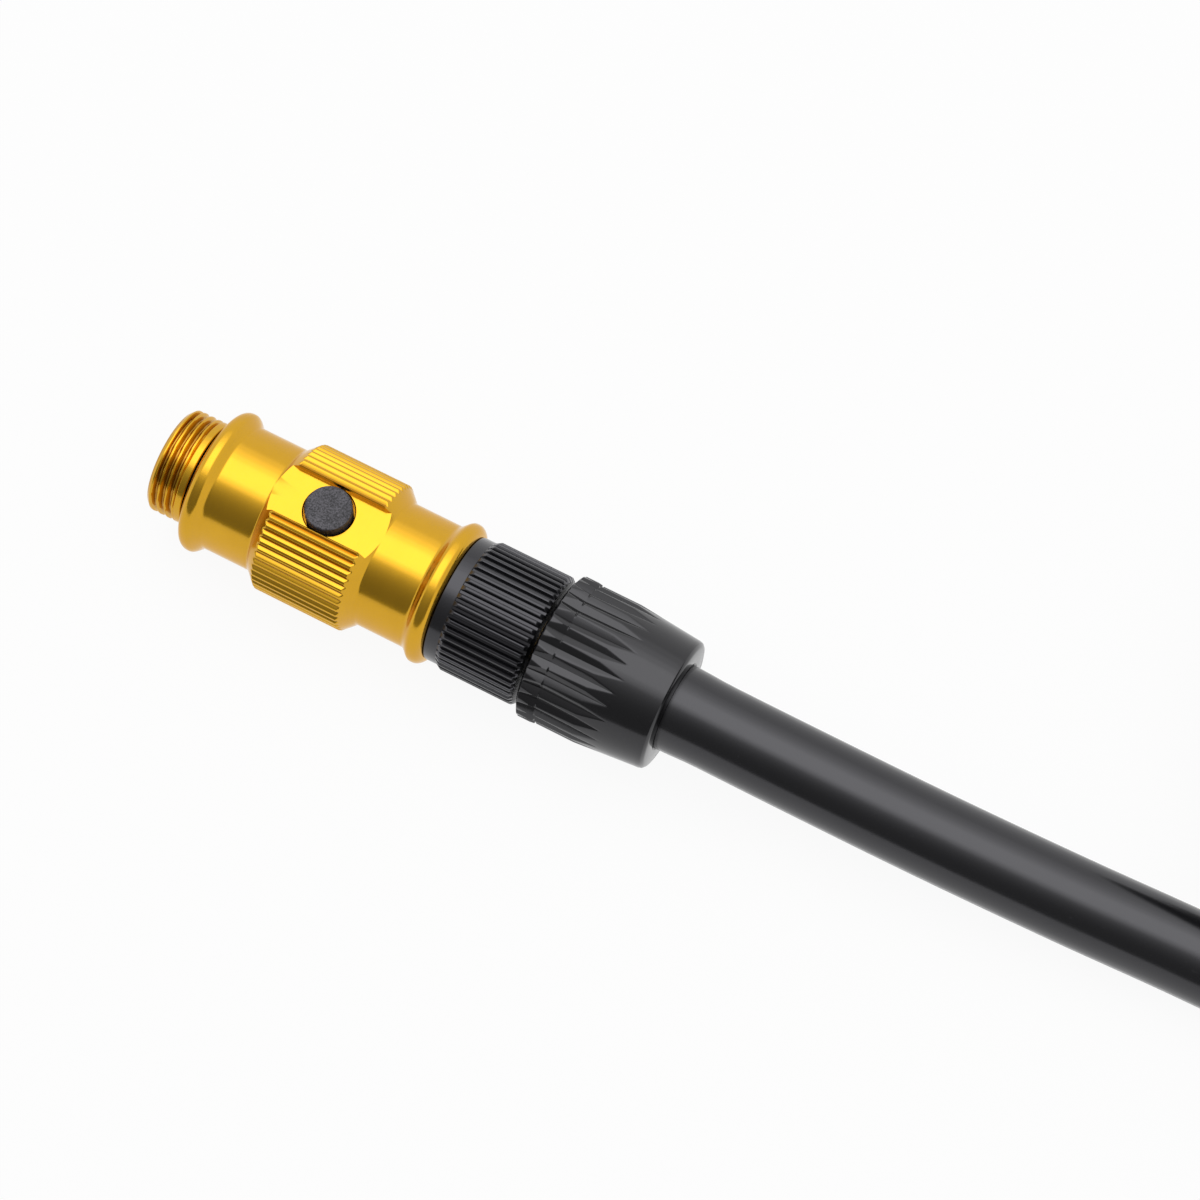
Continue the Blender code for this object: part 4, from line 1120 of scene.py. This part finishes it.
def add_camera():
    level = math.cos(CAMERA_ELEVATION)
    back = Vector((math.sin(CAMERA_AZIMUTH) * level, -math.cos(CAMERA_AZIMUTH) * level,
                   math.sin(CAMERA_ELEVATION)))
    right = Vector((math.cos(CAMERA_AZIMUTH), math.sin(CAMERA_AZIMUTH), 0.0))
    up = back.cross(right)
    data = bpy.data.cameras.new("camera")
    data.lens = CAMERA_LENS
    data.clip_start = 0.01
    camera = new_object("camera", data)
    turn = Matrix((right, up, back)).transposed().to_4x4()
    camera.matrix_world = Matrix.Translation(CAMERA_PLACE * MM) @ turn
    bpy.context.scene.camera = camera


def seen_rays(tree):
    """One for rays that show the surroundings: from the camera, off gloss or through glass."""
    path = node(tree, 'ShaderNodeLightPath').outputs
    return larger(tree, larger(tree, path['Is Camera Ray'], path['Is Glossy Ray']),
                  path['Is Transmission Ray'])


def shader_mix(tree, factor, first, second):
    return node(tree, 'ShaderNodeMixShader', {'Fac': factor, 1: first, 2: second}).outputs[0]


def add_sheet(name, look, corners):
    """Flat four-cornered sheet, and the empty node tree of its material."""
    mesh = bpy.data.meshes.new(name)
    mesh.from_pydata(corners, [], [(0, 1, 2, 3)])
    sheet = new_object(name, mesh)
    material = bpy.data.materials.new(look)
    material.use_nodes = True
    material.node_tree.nodes.clear()
    mesh.materials.append(material)
    return sheet, material.node_tree


def add_floor():
    """Pale floor that the camera sees as white, with the object's shadow left on it."""
    half = FLOOR_HALF
    corners = [(-half, -half, 0.0), (half, -half, 0.0), (half, half, 0.0), (-half, half, 0.0)]
    floor, tree = add_sheet("floor", "floor_white", corners)
    floor.location = (0.0, 0.0, -FLOOR_DROP)
    paper = node(tree, 'ShaderNodeBsdfDiffuse', {'Color': PAPER}).outputs[0]
    glow = node(tree, 'ShaderNodeEmission', {'Color': WHITE, 'Strength': 1.0}).outputs[0]
    share = product(tree, seen_rays(tree), FLOOR_GLOW)
    node(tree, 'ShaderNodeOutputMaterial', {'Surface': shader_mix(tree, share, paper, glow)})


def add_area(name, location, width, height, radiance):
    """Rectangular lamp that shines straight down."""
    data = bpy.data.lights.new(name, 'AREA')
    data.shape = 'RECTANGLE'
    data.size = width
    data.size_y = height
    data.energy = radiance * math.pi * width * height
    new_object(name, data).location = location


def add_softbox():
    for number, (behind, before, width, level) in enumerate(SOFTBOX, start=1):
        back = SOFTBOX_HEIGHT * math.tan(math.radians(behind))
        front = -SOFTBOX_HEIGHT * math.tan(math.radians(before))
        middle = (back + front) / 2
        place = (SOFTBOX_X, middle, SOFTBOX_HEIGHT + LAYER_GAP * number)
        add_area("softbox_%d" % number, place, width, back - front, level)


def add_card():
    """Grey card behind the camera, dark at the foot and paler towards the softbox above it."""
    corners = [(-CARD_HALF, *CARD_FOOT), (CARD_HALF, *CARD_FOOT), (CARD_HALF, *CARD_TOP),
               (-CARD_HALF, *CARD_TOP)]
    card, tree = add_sheet("card", "card_grey", corners)
    card.visible_camera = False
    place = node(tree, 'ShaderNodeTexCoord').outputs['Object']
    height = node(tree, 'ShaderNodeSeparateXYZ', {'Vector': place}).outputs['Z']
    share = ramp(tree, height, CARD_FOOT[1], CARD_TOP[1])
    level = ramp(tree, calculated(tree, 'POWER', share, CARD_POWER), 0.0, 1.0, *CARD_LEVELS)
    glow = node(tree, 'ShaderNodeEmission', {'Color': WHITE, 'Strength': level}).outputs[0]
    node(tree, 'ShaderNodeOutputMaterial', {'Surface': glow})


def add_world():
    world = bpy.data.worlds.new("studio")
    bpy.context.scene.world = world
    world.use_nodes = True
    tree = world.node_tree
    tree.nodes.clear()
    dim = node(tree, 'ShaderNodeBackground', {'Color': WHITE, 'Strength': WORLD_LEVEL}).outputs[0]
    white = node(tree, 'ShaderNodeBackground', {'Color': WHITE, 'Strength': 1.0}).outputs[0]
    node(tree, 'ShaderNodeOutputWorld', {'Surface': shader_mix(tree, seen_rays(tree), dim, white)})


add_camera()
add_floor()
add_card()
add_softbox()
add_world()
bpy.context.scene.view_settings.view_transform = 'Standard'

bpy.context.view_layer.update()
